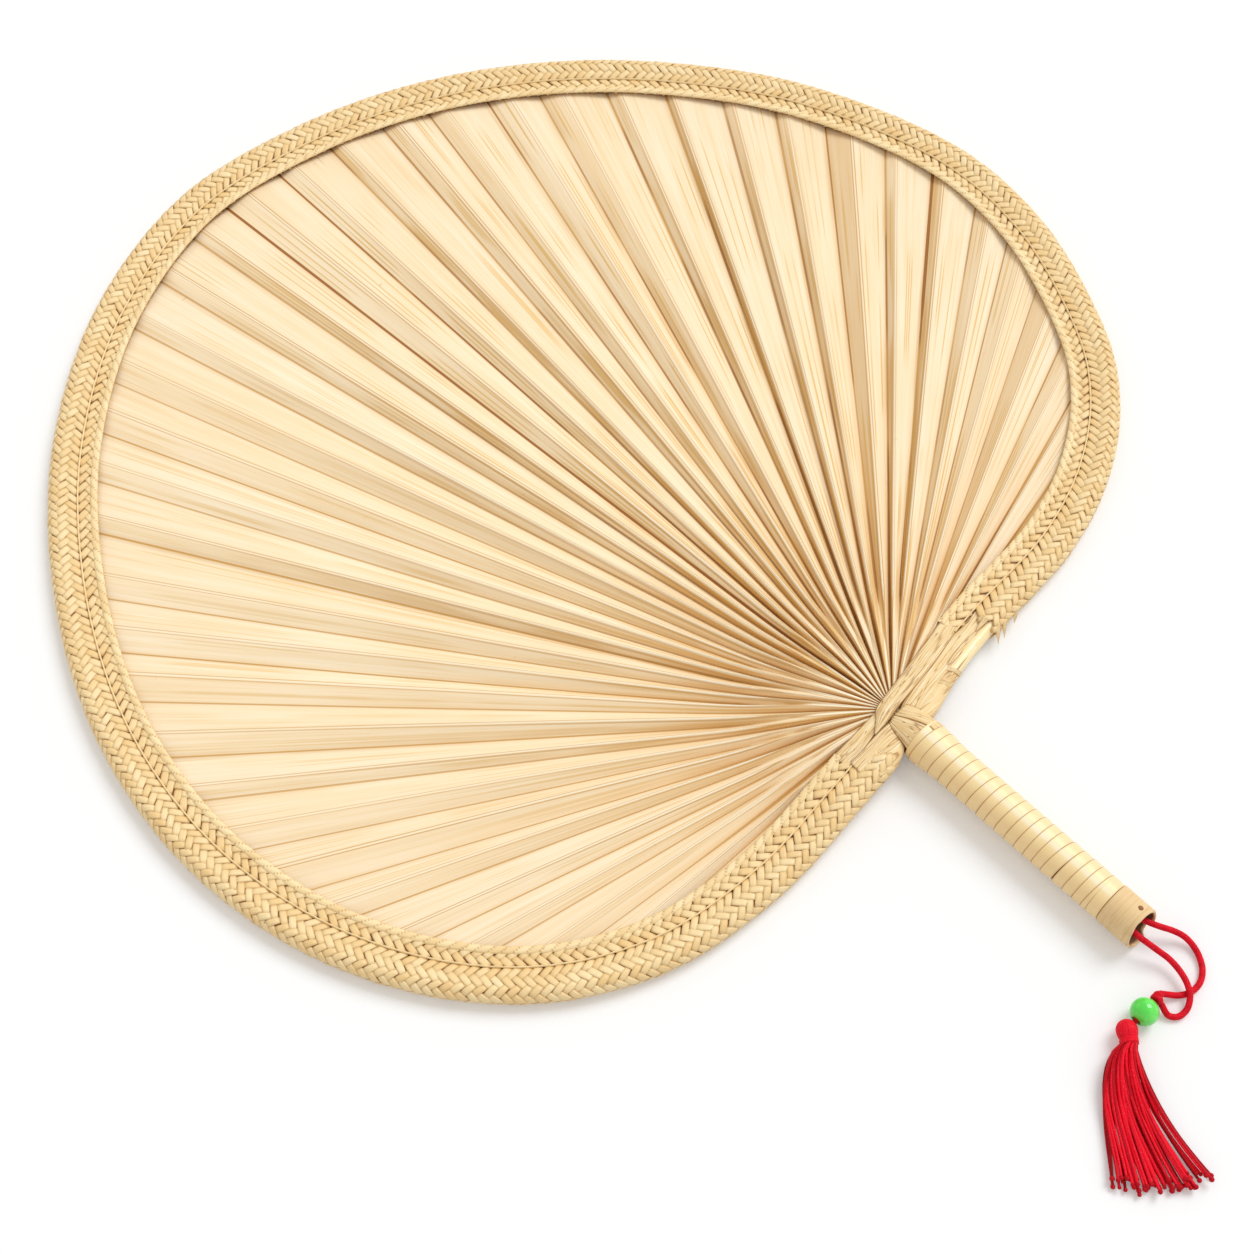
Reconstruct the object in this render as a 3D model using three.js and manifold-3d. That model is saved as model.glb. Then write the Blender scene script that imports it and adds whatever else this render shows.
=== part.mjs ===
// A palm-leaf hand fan lying on its back: a pleated leaf in a plaited rim, lashed to a bamboo handle that is
// wound with a cane strip, and a cord loop with a bead and a tassel. Millimetres, +Z up, +Y from the handle
// to the tip of the blade.
import * as THREE from "three";
import { mergeVertices } from "three/addons/utils/BufferGeometryUtils.js";
import Module from "manifold-3d";

const wasm = await Module();
wasm.setup();

// Clearance between pieces that lie on each other
const seatGap = 0.3;

// Blade outline: shares of the half width and of the length, from the head round by the left
const bladeHalfWidth = 225.4;
const bladeLength = 403;
const outlineShares = [
  [0, 0.003], [-0.156, -0.006], [-0.359, -0.013], [-0.561, 0.004], [-0.74, 0.059], [-0.878, 0.148],
  [-0.968, 0.263], [-0.999, 0.398], [-0.96, 0.544], [-0.849, 0.69], [-0.676, 0.826], [-0.438, 0.936],
  [-0.159, 0.996], [0.118, 0.988], [0.367, 0.943], [0.582, 0.868], [0.765, 0.766], [0.914, 0.636],
  [1.001, 0.472], [0.981, 0.333], [0.876, 0.2], [0.764, 0.123], [0.615, 0.069], [0.449, 0.04],
  [0.26, 0.031], [0.115, 0.018],
];
const rimStations = 72;

// Leaf: strips between folds, hub where the folds meet, and how far the base rises towards the handle
const leafStrips = 98;
const leafThickness = 0.8;
const foldHeight = 1.6;
const pressedFold = 0.6;
const foldRise = 30;
const foldStrayShare = 0.26;
const foldUnevenShare = 0.35;
const ridgeLeanShare = 0.4;
const leastLeanShare = 0.25;
const leanStartShare = 0.18;
const leanFullShare = 0.55;
const scatterRate = 12.9898;
const scatterGain = 43.7585;
const scatterShift = 4;
const foldEase = 0.12;
const leastOpenShare = 0.8;
const bandSearchStep = 1;
const leafRoom = 0.5;
const openRings = [0, 0.07, 0.2, 0.36, 0.6, 1];
const coveredRings = [0.25, 0.55, 1];
const hubX = 1.6;
const hubY = 19.5;
const hubRadius = 7;
const headY = 10;
const liftReach = 75;
const leafStart = 13;

// Stalk: the leaf's own stem, round in the tube and flat under the strips
const stalkDepth = 46;
const stalkShoulderY = 6;
const stalkTongueY = 12;
const stalkTongueHalfWidth = 5.6;
const stalkTipReach = 9;
const stalkTipTaper = 0.65;
const stalkSides = 16;

// Rim: hoop, wide braid folded over it, narrow braids on both faces
const hoopRadius = 2.8;
const hoopSides = 7;
const hoopSlack = 0.45;
const hoopEnd = 13;
const braidThickness = 1.2;
const braidWidth = 13.4;
const braidEndLeft = 11.5;
const braidEndRight = 54;
const rollFlat = THREE.MathUtils.degToRad(15);
const rollCorner = THREE.MathUtils.degToRad(25);
const edgeBraidWidth = 6.6;
const edgeBraidThickness = 1.3;
const edgeBraidShoulder = 0.3;
const edgeBraidEndLeft = 26;
const edgeBraidEndRight = 43;

// Flat strips at the base, and the strip wound round the bare hoop
const stripThickness = 1;
const stripTipHalfWidth = 0.7;
const rightStripTip = 11.5;
const rightStripTaper = 6.5;
const leftStripEnd = 3;
const leftStripTaper = 0.5;
const stripClimb = 8;
const stripClimbRoom = 1;
const liningEnd = 12;
const wrapStart = 20;
const wrapLoops = 3;
const wrapPitch = 4.4;
const wrapStripWidth = 3.4;
const wrapThickness = 0.7;

// Handle: tube, sleeve at its open end, winding
const handleLength = 102;
const tubeTop = 0.6;
const tubeRadius = 6.9;
const tubeWall = 1.7;
const tubeSides = 28;
const sleeveLength = 14;
const sleeveWall = 1.15;
const mouthWall = 1.1;
const mouthFloor = 3;
const mouthSlant = THREE.MathUtils.degToRad(5.5);
const windingLoops = 19;
const windingThickness = 0.6;
const windingGap = 0.48;
const windingSteps = 24;
const headBulgeRoom = 0.9;
const headBulgeFade = 8;
const groundClearance = 0.1;

// Lashing strips that tie the leaf's base to the tube
const lashThickness = 0.6;
const lashTailHalfWidth = 1.6;
const lashTailLength = 7.5;
const lashAngle = THREE.MathUtils.degToRad(30);
const lashStartHalfWidth = 1.4;
const lashMiddleHalfWidth = 2;
const lashMiddleY = 7.6;
const lashMiddleRise = 0.9;
const lashMiddleTilt = 0.3;
const lashPaths = {
  right: { sideX: 1, startX: -0.4, startY: 12.9, middleX: 3.2, lean: THREE.MathUtils.degToRad(39) },
  left: { sideX: -1, startX: -4.4, startY: 12.4, middleX: -5.9, lean: THREE.MathUtils.degToRad(-13) },
};

// Cord, knot and bead
const cordRadius = 1.15;
const hangerRadius = 0.98;
const cordSides = 8;
const legSteps = 26;
const bightSteps = 12;
const pegRadius = 1.1;
const pegSides = 12;
const pegInset = 4.6;
const pegTilt = THREE.MathUtils.degToRad(18);
const beadRadius = 5;
const beadBoreClearance = 0.4;
const beadX = -20.9;
const beadDrop = 19.1;
const beadArcs = 10;
const beadSides = 20;
const knotHalfLength = 1.7;
const knotRadius = 2.2;

// Tassel: swings about the centre of its head
const tasselHeadRadius = 3.75;
const tasselNeckRadius = 2.9;
const tasselNeckReach = 5.2;
const tasselHeading = THREE.MathUtils.degToRad(230.6);
const neckBandThickness = 0.7;
const neckBandWidth = 2.2;
const neckBandSoft = 0.28;
const tasselArcs = 8;
const tasselSides = 18;
const skirtReach = 53;
const skirtSpread = THREE.MathUtils.degToRad(18);
const skirtTipHalfHeight = 2.1;
const skirtFlutes = 12;
const skirtFluteDepth = 0.07;
const skirtRings = [0, 0.1, 0.3, 0.6, 1];
const skirtSinkShare = 0.7;

// Route of each cord leg from the bight to the knot, measured from the tube's mouth and the surface below
const legARoute = [
  [2.4, 4.3, 8.2], [3.6, 1.8, 8.3], [4.7, -0.6, 7.7], [6.6, -3.6, 6.6], [9.1, -7.1, 5.1], [11, -11, 3.4],
  [11.2, -15, 2.1], [9.7, -19.4, 1.4], [6.6, -23.2, 1.25], [2.2, -25.4, 1.25], [-2.6, -25.2, 1.25],
  [-6.4, -23.1, 1.4], [-9.2, -20.6, 2.6], [-11.65, -18.6, 4.25],
];
const legBRoute = [
  [-2.4, 4.3, 9.75], [-2.9, 1.8, 9.4], [-2.8, -1, 9], [-2, -4.4, 7.9], [-0.8, -8.4, 6.1], [0.2, -13, 4.7],
  [-0.3, -18, 4.1], [-2, -22.6, 3.95], [-4.6, -26.2, 3.2], [-8.4, -28.3, 2], [-12.4, -27.9, 1.4],
  [-14.6, -25.3, 1.6], [-14.15, -21.2, 3.85],
];

// Sizes that follow from the ones above
const boreRadius = tubeRadius - tubeWall;
const sleeveRadius = tubeRadius + sleeveWall;
const mouthRadius = sleeveRadius - mouthWall;
const rollRadius = hoopRadius + hoopSlack + braidThickness;
const rimMid = rollRadius * Math.cos(rollFlat);
const hoopInset = rollRadius;
const bandClear = pressedFold + leafThickness / 2 + leafRoom;
const tongueHalf = bandClear - seatGap;
const leafEdge = hoopInset + hoopRadius + wrapThickness + 2 * seatGap;
const bandOuter = braidWidth + seatGap;
const bandInner = bandOuter + edgeBraidWidth;
const lashSeat = tubeRadius + seatGap;
const headWindingInner = Math.hypot(lashSeat + lashThickness, lashTailHalfWidth) + seatGap;
const axisZ = headWindingInner + windingThickness + groundClearance;
const stalkRadius = boreRadius - seatGap;
const headBulgeEnd = tubeTop + lashTailLength + headBulgeRoom;
const windingLength = handleLength - sleeveLength - tubeTop - seatGap;
const windingPitch = windingLength / (windingLoops + 1);
const windingWidth = windingPitch - windingGap;
const bightRadius = pegRadius + seatGap + cordRadius;
const beadBore = cordRadius + beadBoreClearance;
const beadZ = beadRadius + groundClearance;
const knotX = beadX + beadRadius + seatGap + knotHalfLength;
const tasselX = beadX - beadRadius - 2 * seatGap - tasselHeadRadius;

const straw = new THREE.MeshStandardMaterial({ color: 0xe6c48c, roughness: 0.62, metalness: 0 });
const leafStraw = new THREE.MeshStandardMaterial({ color: 0xf2dcb2, roughness: 0.55, metalness: 0 });
const cane = new THREE.MeshStandardMaterial({ color: 0xeccb8f, roughness: 0.4, metalness: 0 });
const bamboo = new THREE.MeshStandardMaterial({ color: 0xddb880, roughness: 0.5, metalness: 0 });
const redThread = new THREE.MeshStandardMaterial({ color: 0xd4112c, roughness: 0.6, metalness: 0 });
const greenGloss = new THREE.MeshStandardMaterial({ color: 0x4bd741, roughness: 0.2, metalness: 0 });

// Geometry helpers

function signedVolume(position, index) {
  const a = new THREE.Vector3();
  const b = new THREE.Vector3();
  const c = new THREE.Vector3();
  let sum = 0;
  for (let i = 0; i < index.length; i += 3) {
    a.fromBufferAttribute(position, index[i]);
    b.fromBufferAttribute(position, index[i + 1]);
    c.fromBufferAttribute(position, index[i + 2]);
    sum += a.dot(b.cross(c));
  }
  return sum / 6;
}

// The closed geometry of points and triangles, turned so that its faces point outwards
function outward(points, triangles) {
  const position = new THREE.Float32BufferAttribute(points.flatMap((p) => [p.x, p.y, p.z]), 3);
  const index = triangles.flat();
  const facesOut = signedVolume(position, index) > 0;
  const turned = facesOut ? index : triangles.flatMap(([a, b, c]) => [a, c, b]);
  return new THREE.BufferGeometry().setAttribute("position", position).setIndex(turned);
}

// A solid through rings of points in the same order. The section, a ring's flat outline, closes both ends.
// From the section's point turnedFrom on, the faces between rings are split along their other diagonal.
function loft(rings, section, ringsClose = false, turnedFrom = section.length) {
  const count = section.length;
  const triangles = [];
  const steps = ringsClose ? rings.length : rings.length - 1;
  for (let i = 0; i < steps; i++) {
    const near = i * count;
    const far = ((i + 1) % rings.length) * count;
    for (let j = 0; j < count; j++) {
      const next = (j + 1) % count;
      if (j < turnedFrom) {
        triangles.push([near + j, near + next, far + next], [near + j, far + next, far + j]);
      } else {
        triangles.push([near + j, near + next, far + j], [near + next, far + next, far + j]);
      }
    }
  }
  if (!ringsClose) {
    const turn = THREE.ShapeUtils.area(section) > 0;
    const last = (rings.length - 1) * count;
    for (const face of THREE.ShapeUtils.triangulateShape(section, [])) {
      const same = THREE.ShapeUtils.area(face.map((k) => section[k])) > 0 === turn;
      const [a, b, c] = same ? face : [face[0], face[2], face[1]];
      triangles.push([c, b, a], [last + a, last + b, last + c]);
    }
  }
  return outward(rings.flat(), triangles);
}

function circle(radius, sides) {
  return Array.from({ length: sides }, (_, i) => {
    const turn = (2 * Math.PI * (i + 0.5)) / sides;
    return new THREE.Vector2(radius * Math.cos(turn), radius * Math.sin(turn));
  });
}

// A lathe about Y from a closed or axis-to-axis profile of [radius, y]
function lathe(profile, segments) {
  const made = new THREE.LatheGeometry(profile.map(([r, y]) => new THREE.Vector2(r, y)), segments);
  return facedOut(made);
}

function bare(geometry) {
  const copy = geometry.clone();
  copy.deleteAttribute("normal");
  copy.deleteAttribute("uv");
  return mergeVertices(copy, 1e-4);
}

function facedOut(geometry) {
  const merged = bare(geometry);
  const position = merged.getAttribute("position");
  const points = Array.from({ length: position.count }, (_, i) => {
    return new THREE.Vector3().fromBufferAttribute(position, i);
  });
  const triangles = [];
  const index = merged.index.array;
  for (let i = 0; i < index.length; i += 3) {
    const face = [index[i], index[i + 1], index[i + 2]];
    if (new Set(face).size === 3) triangles.push(face);
  }
  return outward(points, triangles);
}

function manifoldOf(geometry) {
  const merged = bare(geometry);
  return new wasm.Manifold(new wasm.Mesh({
    numProp: 3,
    vertProperties: new Float32Array(merged.getAttribute("position").array),
    triVerts: new Uint32Array(merged.index.array),
  }));
}

function geometryOf(solid) {
  const made = solid.getMesh();
  return new THREE.BufferGeometry()
    .setAttribute("position", new THREE.Float32BufferAttribute(made.vertProperties, 3))
    .setIndex(new THREE.BufferAttribute(made.triVerts, 1));
}

function tubeAlong(curve, radius, sides, steps) {
  const shape = new THREE.Shape(circle(radius, sides));
  return new THREE.ExtrudeGeometry(shape, { steps, extrudePath: curve, bevelEnabled: false });
}

function piece(group, name, geometry, material) {
  const mesh = new THREE.Mesh(geometry, material);
  mesh.name = name;
  group.add(mesh);
  return mesh;
}

// The blade's edge as a rail: a point and the inward normal at any length from the head

const outline = new THREE.CatmullRomCurve3(
  outlineShares.map(([x, y]) => new THREE.Vector3(x * bladeHalfWidth, y * bladeLength, 0)),
  true,
  "catmullrom",
  0.5,
);
outline.arcLengthDivisions = 1200;
const rimLength = outline.getLength();
const stationStep = rimLength / rimStations;

function bladeZ(x, y) {
  const away = Math.hypot(x, y - headY);
  const lift = 1 - THREE.MathUtils.smoothstep(away, 0, liftReach);
  return rimMid + (axisZ - rimMid) * lift;
}

// Lengths count from the head round by the left, so a negative length lies to the right of the head
function railAt(length) {
  const share = THREE.MathUtils.euclideanModulo(length / rimLength, 1);
  const point = outline.getPointAt(share);
  const along = outline.getTangentAt(share);
  return { point, inward: new THREE.Vector3(along.y, -along.x, 0) };
}

function railPoint(station, inset, height) {
  const place = station.point.clone().addScaledVector(station.inward, inset);
  place.z = bladeZ(place.x, place.y) + height;
  return place;
}

// A section of [inset, height] points swept along the rim, all round or open by a length beside the head
function rimSweep(section, openLeft = 0, openRight = 0) {
  const flat = section.map(([inset, height]) => new THREE.Vector2(inset, height));
  const allRound = openLeft + openRight === 0;
  const shared = Array.from({ length: rimStations }, (_, i) => i * stationStep);
  const last = rimLength - openRight;
  const margin = stationStep / 4;
  const inside = shared.filter((length) => length > openLeft + margin && length < last - margin);
  const lengths = allRound ? shared : [openLeft, ...inside, last];
  const rings = lengths.map((length) => {
    const station = railAt(length);
    return flat.map((p) => railPoint(station, p.x, p.y));
  });
  return loft(rings, flat, allRound);
}

// Rim pieces

function hoopGeometry() {
  const section = circle(hoopRadius, hoopSides).map((p) => [hoopInset + p.x, p.y]);
  return rimSweep(section, hoopEnd, hoopEnd);
}

function rimBraidGeometry() {
  const top = Math.PI / 2;
  const upper = [top - rollFlat, top + rollFlat, Math.PI - rollCorner];
  const turns = [...upper, ...upper.map((turn) => 2 * Math.PI - turn).reverse()];
  const arc = (radius) => turns.map((t) => [hoopInset + radius * Math.cos(t), radius * Math.sin(t)]);
  const lip = bandClear + braidThickness;
  const inner = arc(hoopRadius + hoopSlack).reverse();
  const section = [
    [braidWidth, lip], ...arc(rollRadius), [braidWidth, -lip], [braidWidth, -bandClear], ...inner,
    [braidWidth, bandClear],
  ];
  return rimSweep(section, braidEndLeft, braidEndRight);
}

function edgeBraidSection(side) {
  const crown = bandClear + edgeBraidThickness;
  const shoulder = crown - edgeBraidShoulder;
  return [
    [bandOuter, side * bandClear], [bandInner, side * bandClear], [bandInner - seatGap, side * shoulder],
    [bandOuter + edgeBraidWidth / 3, side * crown],
  ];
}

// A flat strip laid along the rail: stops of [length, inset, half width, height of its underside]
function railStrip(stops, thickness) {
  const section = [[-1, 0], [1, 0], [1, 1], [-1, 1]].map(([x, y]) => new THREE.Vector2(x, y));
  const rings = stops.map(([length, inset, half, under]) => {
    const station = railAt(length);
    return section.map((p) => railPoint(station, inset + p.x * half, under + p.y * thickness));
  });
  return loft(rings, section);
}

function rightStripGeometry() {
  const middle = (bandOuter + bandInner) / 2;
  const half = edgeBraidWidth / 2;
  const low = bandClear;
  const high = bandClear + stripThickness + seatGap;
  const start = -edgeBraidEndRight + seatGap;
  const climbed = -leftStripEnd - stripClimbRoom;
  const climb = climbed - stripClimb;
  return railStrip([
    [start, middle, half, low], [(start + climb) / 2, middle, half, low], [climb, middle, half, low],
    [climbed, middle, half, high], [0, middle, half, high],
    [rightStripTip - rightStripTaper, middle, half, high],
    [rightStripTip, middle - half / 2, stripTipHalfWidth, high],
  ], stripThickness);
}

function leftStripGeometry() {
  const middle = (bandOuter + bandInner) / 2;
  const half = edgeBraidWidth / 2;
  const start = edgeBraidEndLeft - seatGap;
  const stops = [0, 1 / 3, 2 / 3, 1].map((share) => {
    const taper = THREE.MathUtils.lerp(1, leftStripTaper, share);
    return [THREE.MathUtils.lerp(start, -leftStripEnd, share), middle, half * taper, bandClear];
  });
  return railStrip(stops, stripThickness);
}

function liningGeometry(side) {
  const outer = leafEdge;
  const middle = (outer + braidWidth) / 2;
  const half = (braidWidth - outer) / 2;
  const under = side > 0 ? bandClear : -bandClear - stripThickness;
  const start = -braidEndRight + seatGap;
  return railStrip([
    [start, middle, half, under], [(2 * start - liningEnd) / 3, middle, half, under],
    [(start - 2 * liningEnd) / 3, middle, half, under], [-liningEnd, middle + half / 3, half / 2, under],
  ], stripThickness);
}

// A flat strip wound in a helix, its corners given by place(turn, across, out). Its least gap is printed.
function helixStrip(name, loops, steps, place) {
  const section = [[0, 0], [1, 0], [1, 1], [0, 1]].map(([x, y]) => new THREE.Vector2(x, y));
  const rings = Array.from({ length: loops * steps + 1 }, (_, i) => {
    return section.map((p) => place(i / steps, p.x, p.y));
  });
  let least = Infinity;
  for (let i = 0; i + steps < rings.length; i++) {
    for (const p of rings[i]) {
      for (const q of rings[i + steps]) {
        least = Math.min(least, p.distanceTo(q));
      }
    }
  }
  console.log(name + ": least gap between turns " + least.toFixed(2) + " mm");
  return loft(rings, section);
}

function hoopWrapGeometry() {
  const inner = hoopRadius + seatGap;
  return helixStrip("hoop_wrap", wrapLoops, windingSteps, (turn, across, out) => {
    const station = railAt(-(wrapStart + turn * wrapPitch + across * wrapStripWidth));
    const angle = 2 * Math.PI * turn;
    const radius = inner + out * wrapThickness;
    return railPoint(station, hoopInset + radius * Math.cos(angle), radius * Math.sin(angle));
  });
}

// Leaf

const edgeSamples = outline.getSpacedPoints(400);

function edgeDistance(x, y) {
  return Math.min(...edgeSamples.map((p) => Math.hypot(p.x - x, p.y - y)));
}

// A steady scatter of values from -1 to 1, so that no two folds are alike
function scatter(line, shift) {
  const swing = scatterGain * Math.sin(scatterRate * (line + 1) + shift);
  return 2 * (swing - Math.floor(swing)) - 1;
}

// A fold's length along the rail. Ridges lean back over the strip before them, more so to the right.
function foldLength(line) {
  const ends = line === 0 || line === leafStrips;
  const stray = ends ? 0 : foldStrayShare * scatter(line, 0);
  const toRight = THREE.MathUtils.smoothstep(line / leafStrips, leanStartShare, leanFullShare);
  const lean = line % 2 ? ridgeLeanShare * THREE.MathUtils.lerp(leastLeanShare, 1, toRight) : 0;
  return leafStart + ((rimLength - 2 * leafStart) * (line + stray - lean)) / leafStrips;
}

function foldAt(line, radius, inset) {
  const uneven = 1 + foldUnevenShare * scatter(line, scatterShift);
  const full = foldHeight * uneven * Math.min(1, radius / foldRise);
  const pressed = pressedFold + foldEase * Math.max(0, inset - bandInner);
  return Math.min(full, pressed);
}

// One fold of the leaf: its points from the hub to the rim, on a ray to the edge
function foldLine(line) {
  const station = railAt(foldLength(line));
  const rim = station.point.clone().addScaledVector(station.inward, leafEdge);
  const reach = Math.hypot(rim.x - hubX, rim.y - hubY);
  const alongX = (rim.x - hubX) / reach;
  const alongY = (rim.y - hubY) / reach;
  const least = hubRadius + leastOpenShare * (reach - hubRadius);
  let band = reach - seatGap;
  while (band > least && edgeDistance(hubX + alongX * band, hubY + alongY * band) < bandInner + seatGap) {
    band -= bandSearchStep;
  }
  const open = openRings.map((share) => hubRadius + share * (band - hubRadius));
  const covered = coveredRings.map((share) => band + share * (reach - band));
  const radii = [...open, ...covered];
  return radii.map((radius) => {
    const x = hubX + alongX * radius;
    const y = hubY + alongY * radius;
    return { x, y, z: bladeZ(x, y), fold: foldAt(line, radius, edgeDistance(x, y)) };
  });
}

function pleatGeometry() {
  const columns = Array.from({ length: leafStrips + 1 }, (_, i) => foldLine(i));
  const count = columns[0].length;
  const section = [];
  for (let j = 0; j < count; j++) section.push(new THREE.Vector2(j, 0));
  for (let j = count - 1; j >= 0; j--) section.push(new THREE.Vector2(j, 1));
  const rings = columns.map((column, i) => {
    const side = i % 2 ? 1 : -1;
    return section.map((p) => {
      const at = column[p.x];
      const height = side * at.fold + (p.y ? 0.5 : -0.5) * leafThickness;
      return new THREE.Vector3(at.x, at.y, at.z + height);
    });
  });
  return loft(rings, section, false, count);
}

function stalkGeometry() {
  const sides = circle(1, stalkSides);
  const tipY = hubY + stalkTipReach;
  const stops = [
    [-stalkDepth, stalkRadius, stalkRadius, axisZ],
    [0, stalkRadius, stalkRadius, axisZ],
    [stalkShoulderY, (stalkRadius + stalkTongueHalfWidth) / 2, (stalkRadius + tongueHalf) / 2, axisZ],
    [stalkTongueY, stalkTongueHalfWidth, tongueHalf, bladeZ(0, stalkTongueY)],
    [hubY, stalkTongueHalfWidth, tongueHalf, bladeZ(0, hubY)],
    [tipY, stalkTongueHalfWidth * stalkTipTaper, tongueHalf * stalkTipTaper, bladeZ(0, tipY)],
  ];
  const rings = stops.map(([y, halfX, halfZ, z]) => {
    return sides.map((p) => new THREE.Vector3(p.x * halfX, y, z + p.y * halfZ));
  });
  return loft(rings, sides);
}

function leafGeometry() {
  return geometryOf(manifoldOf(pleatGeometry()).add(manifoldOf(stalkGeometry())));
}

// Handle

function tubeGeometry() {
  const top = -tubeTop;
  const end = -handleLength;
  const shoulder = end + sleeveLength;
  const floor = shoulder - mouthFloor;
  const body = lathe([
    [tubeRadius, top], [tubeRadius, shoulder], [sleeveRadius, shoulder], [sleeveRadius, end],
    [mouthRadius, end], [mouthRadius, floor], [boreRadius, floor], [boreRadius, top], [tubeRadius, top],
  ], tubeSides);
  const position = body.getAttribute("position");
  for (let i = 0; i < position.count; i++) {
    if (Math.abs(position.getY(i) - end) < seatGap) {
      position.setY(i, end + position.getZ(i) * Math.tan(mouthSlant));
    }
  }
  const holeRadius = pegRadius + seatGap / 2;
  const hole = new THREE.CylinderGeometry(holeRadius, holeRadius, 4 * sleeveRadius, pegSides);
  hole.rotateX(Math.PI / 2).rotateY(pegTilt).translate(0, end + pegInset, 0);
  const cut = manifoldOf(body).subtract(manifoldOf(hole));
  return geometryOf(cut).translate(0, 0, axisZ);
}

function windingInner(y) {
  const bulge = THREE.MathUtils.smoothstep(y, -headBulgeEnd - headBulgeFade, -headBulgeEnd);
  return lashSeat + (headWindingInner - lashSeat) * bulge;
}

function windingGeometry() {
  return helixStrip("handle_winding", windingLoops, windingSteps, (turn, across, out) => {
    const y = -tubeTop - turn * windingPitch - across * windingWidth;
    const angle = 2 * Math.PI * turn;
    const radius = windingInner(y) + out * windingThickness;
    return new THREE.Vector3(radius * Math.sin(angle), y, axisZ + radius * Math.cos(angle));
  });
}

// A lashing strip from the head to its tail on the tube. Stops are [place, width direction, half width].
function lashGeometry({ sideX, startX, startY, middleX, lean }, sideZ) {
  const tail = lashSeat + lashThickness / 2;
  const tailOut = new THREE.Vector3(sideX * Math.cos(lashAngle), 0, Math.sin(lashAngle));
  const tailAcross = new THREE.Vector3(Math.sin(lashAngle), 0, -sideX * Math.cos(lashAngle));
  const over = bandClear + lashThickness / 2;
  const tongueZ = bladeZ(0, stalkTongueY) - axisZ;
  const start = new THREE.Vector3(startX, startY, tongueZ + over);
  const middleZ = (tail * Math.sin(lashAngle) + start.z) / 2 + lashMiddleRise;
  const middle = new THREE.Vector3(middleX, lashMiddleY, middleZ);
  const head = tailOut.clone().multiplyScalar(tail);
  const stops = [
    [start, new THREE.Vector3(Math.cos(lean), Math.sin(lean), 0), lashStartHalfWidth],
    [middle, new THREE.Vector3(Math.cos(lean), Math.sin(lean), -lashMiddleTilt * sideX), lashMiddleHalfWidth],
    [head.clone().setY(-tubeTop - seatGap), tailAcross, lashTailHalfWidth],
    [head.clone().setY(-tubeTop - lashTailLength), tailAcross, lashTailHalfWidth],
  ];
  const section = [[-1, -1], [1, -1], [1, 1], [-1, 1]].map(([x, y]) => new THREE.Vector2(x, y));
  const rings = stops.map(([place, width, half], i) => {
    const next = stops[Math.min(i + 1, stops.length - 1)][0];
    const last = stops[Math.max(i - 1, 0)][0];
    const along = next.clone().sub(last).normalize();
    const across = width.clone().normalize();
    const up = i < 2 ? across.clone().cross(along).normalize() : tailOut.clone();
    if (up.z < 0) up.negate();
    return section.map((p) => {
      const rise = (p.y * lashThickness) / 2;
      const corner = place.clone().addScaledVector(across, p.x * half).addScaledVector(up, rise);
      return new THREE.Vector3(corner.x, corner.y, axisZ + sideZ * corner.z);
    });
  });
  return loft(rings, section, false, section.length / 2);
}

function pegGeometry() {
  const reach = Math.sqrt(sleeveRadius ** 2 - pegRadius ** 2);
  const peg = new THREE.CylinderGeometry(pegRadius, pegRadius, 2 * reach, pegSides);
  return peg.rotateX(Math.PI / 2).rotateY(pegTilt).translate(0, -handleLength + pegInset, axisZ);
}

// Cord, bead and tassel, placed from the middle of the tube's mouth at the surface's height

// The cord goes round the peg in a half ring, square to the peg
function bightGeometry() {
  const across = new THREE.Vector3(Math.cos(pegTilt), 0, -Math.sin(pegTilt));
  const points = Array.from({ length: bightSteps + 1 }, (_, i) => {
    const turn = (Math.PI * i) / bightSteps;
    return new THREE.Vector3(0, pegInset + bightRadius * Math.sin(turn), axisZ)
      .addScaledVector(across, bightRadius * Math.cos(turn));
  });
  return tubeAlong(new THREE.CatmullRomCurve3(points), cordRadius, cordSides, bightSteps);
}

function legGeometry(route) {
  const curve = new THREE.CatmullRomCurve3(route.map((p) => new THREE.Vector3(...p)));
  return tubeAlong(curve, cordRadius, cordSides, legSteps);
}

function knotGeometry() {
  const knot = new THREE.SphereGeometry(1, 14, 8);
  return knot.scale(knotHalfLength, knotRadius, knotRadius).translate(knotX, -beadDrop, beadZ);
}

function hangerGeometry() {
  const from = knotX - knotHalfLength - seatGap / 2;
  const to = tasselX + tasselHeadRadius + seatGap;
  const ends = [from, to].map((x) => new THREE.Vector3(x, -beadDrop, beadZ));
  return tubeAlong(new THREE.LineCurve3(...ends), hangerRadius, cordSides, 2);
}

function beadGeometry() {
  const half = Math.sqrt(beadRadius ** 2 - beadBore ** 2);
  const start = Math.asin(half / beadRadius);
  const arc = Array.from({ length: beadArcs + 1 }, (_, i) => {
    const turn = start - (2 * start * i) / beadArcs;
    return [beadRadius * Math.cos(turn), beadRadius * Math.sin(turn)];
  });
  return lathe([...arc, arc[0]], beadSides).rotateZ(Math.PI / 2).translate(beadX, -beadDrop, beadZ);
}

// The tassel's pieces lie along +X of their own group, with the centre of the head at its origin
function tasselHeadGeometry() {
  const waist = Math.asin(tasselNeckRadius / tasselHeadRadius);
  const ball = Array.from({ length: tasselArcs + 1 }, (_, i) => {
    const turn = (i * (Math.PI - waist)) / tasselArcs;
    return [tasselHeadRadius * Math.sin(turn), tasselHeadRadius * Math.cos(turn)];
  });
  const neck = [[tasselNeckRadius, -tasselNeckReach], [0, -tasselNeckReach]];
  return lathe([...ball, ...neck], tasselSides).rotateZ(Math.PI / 2);
}

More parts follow.
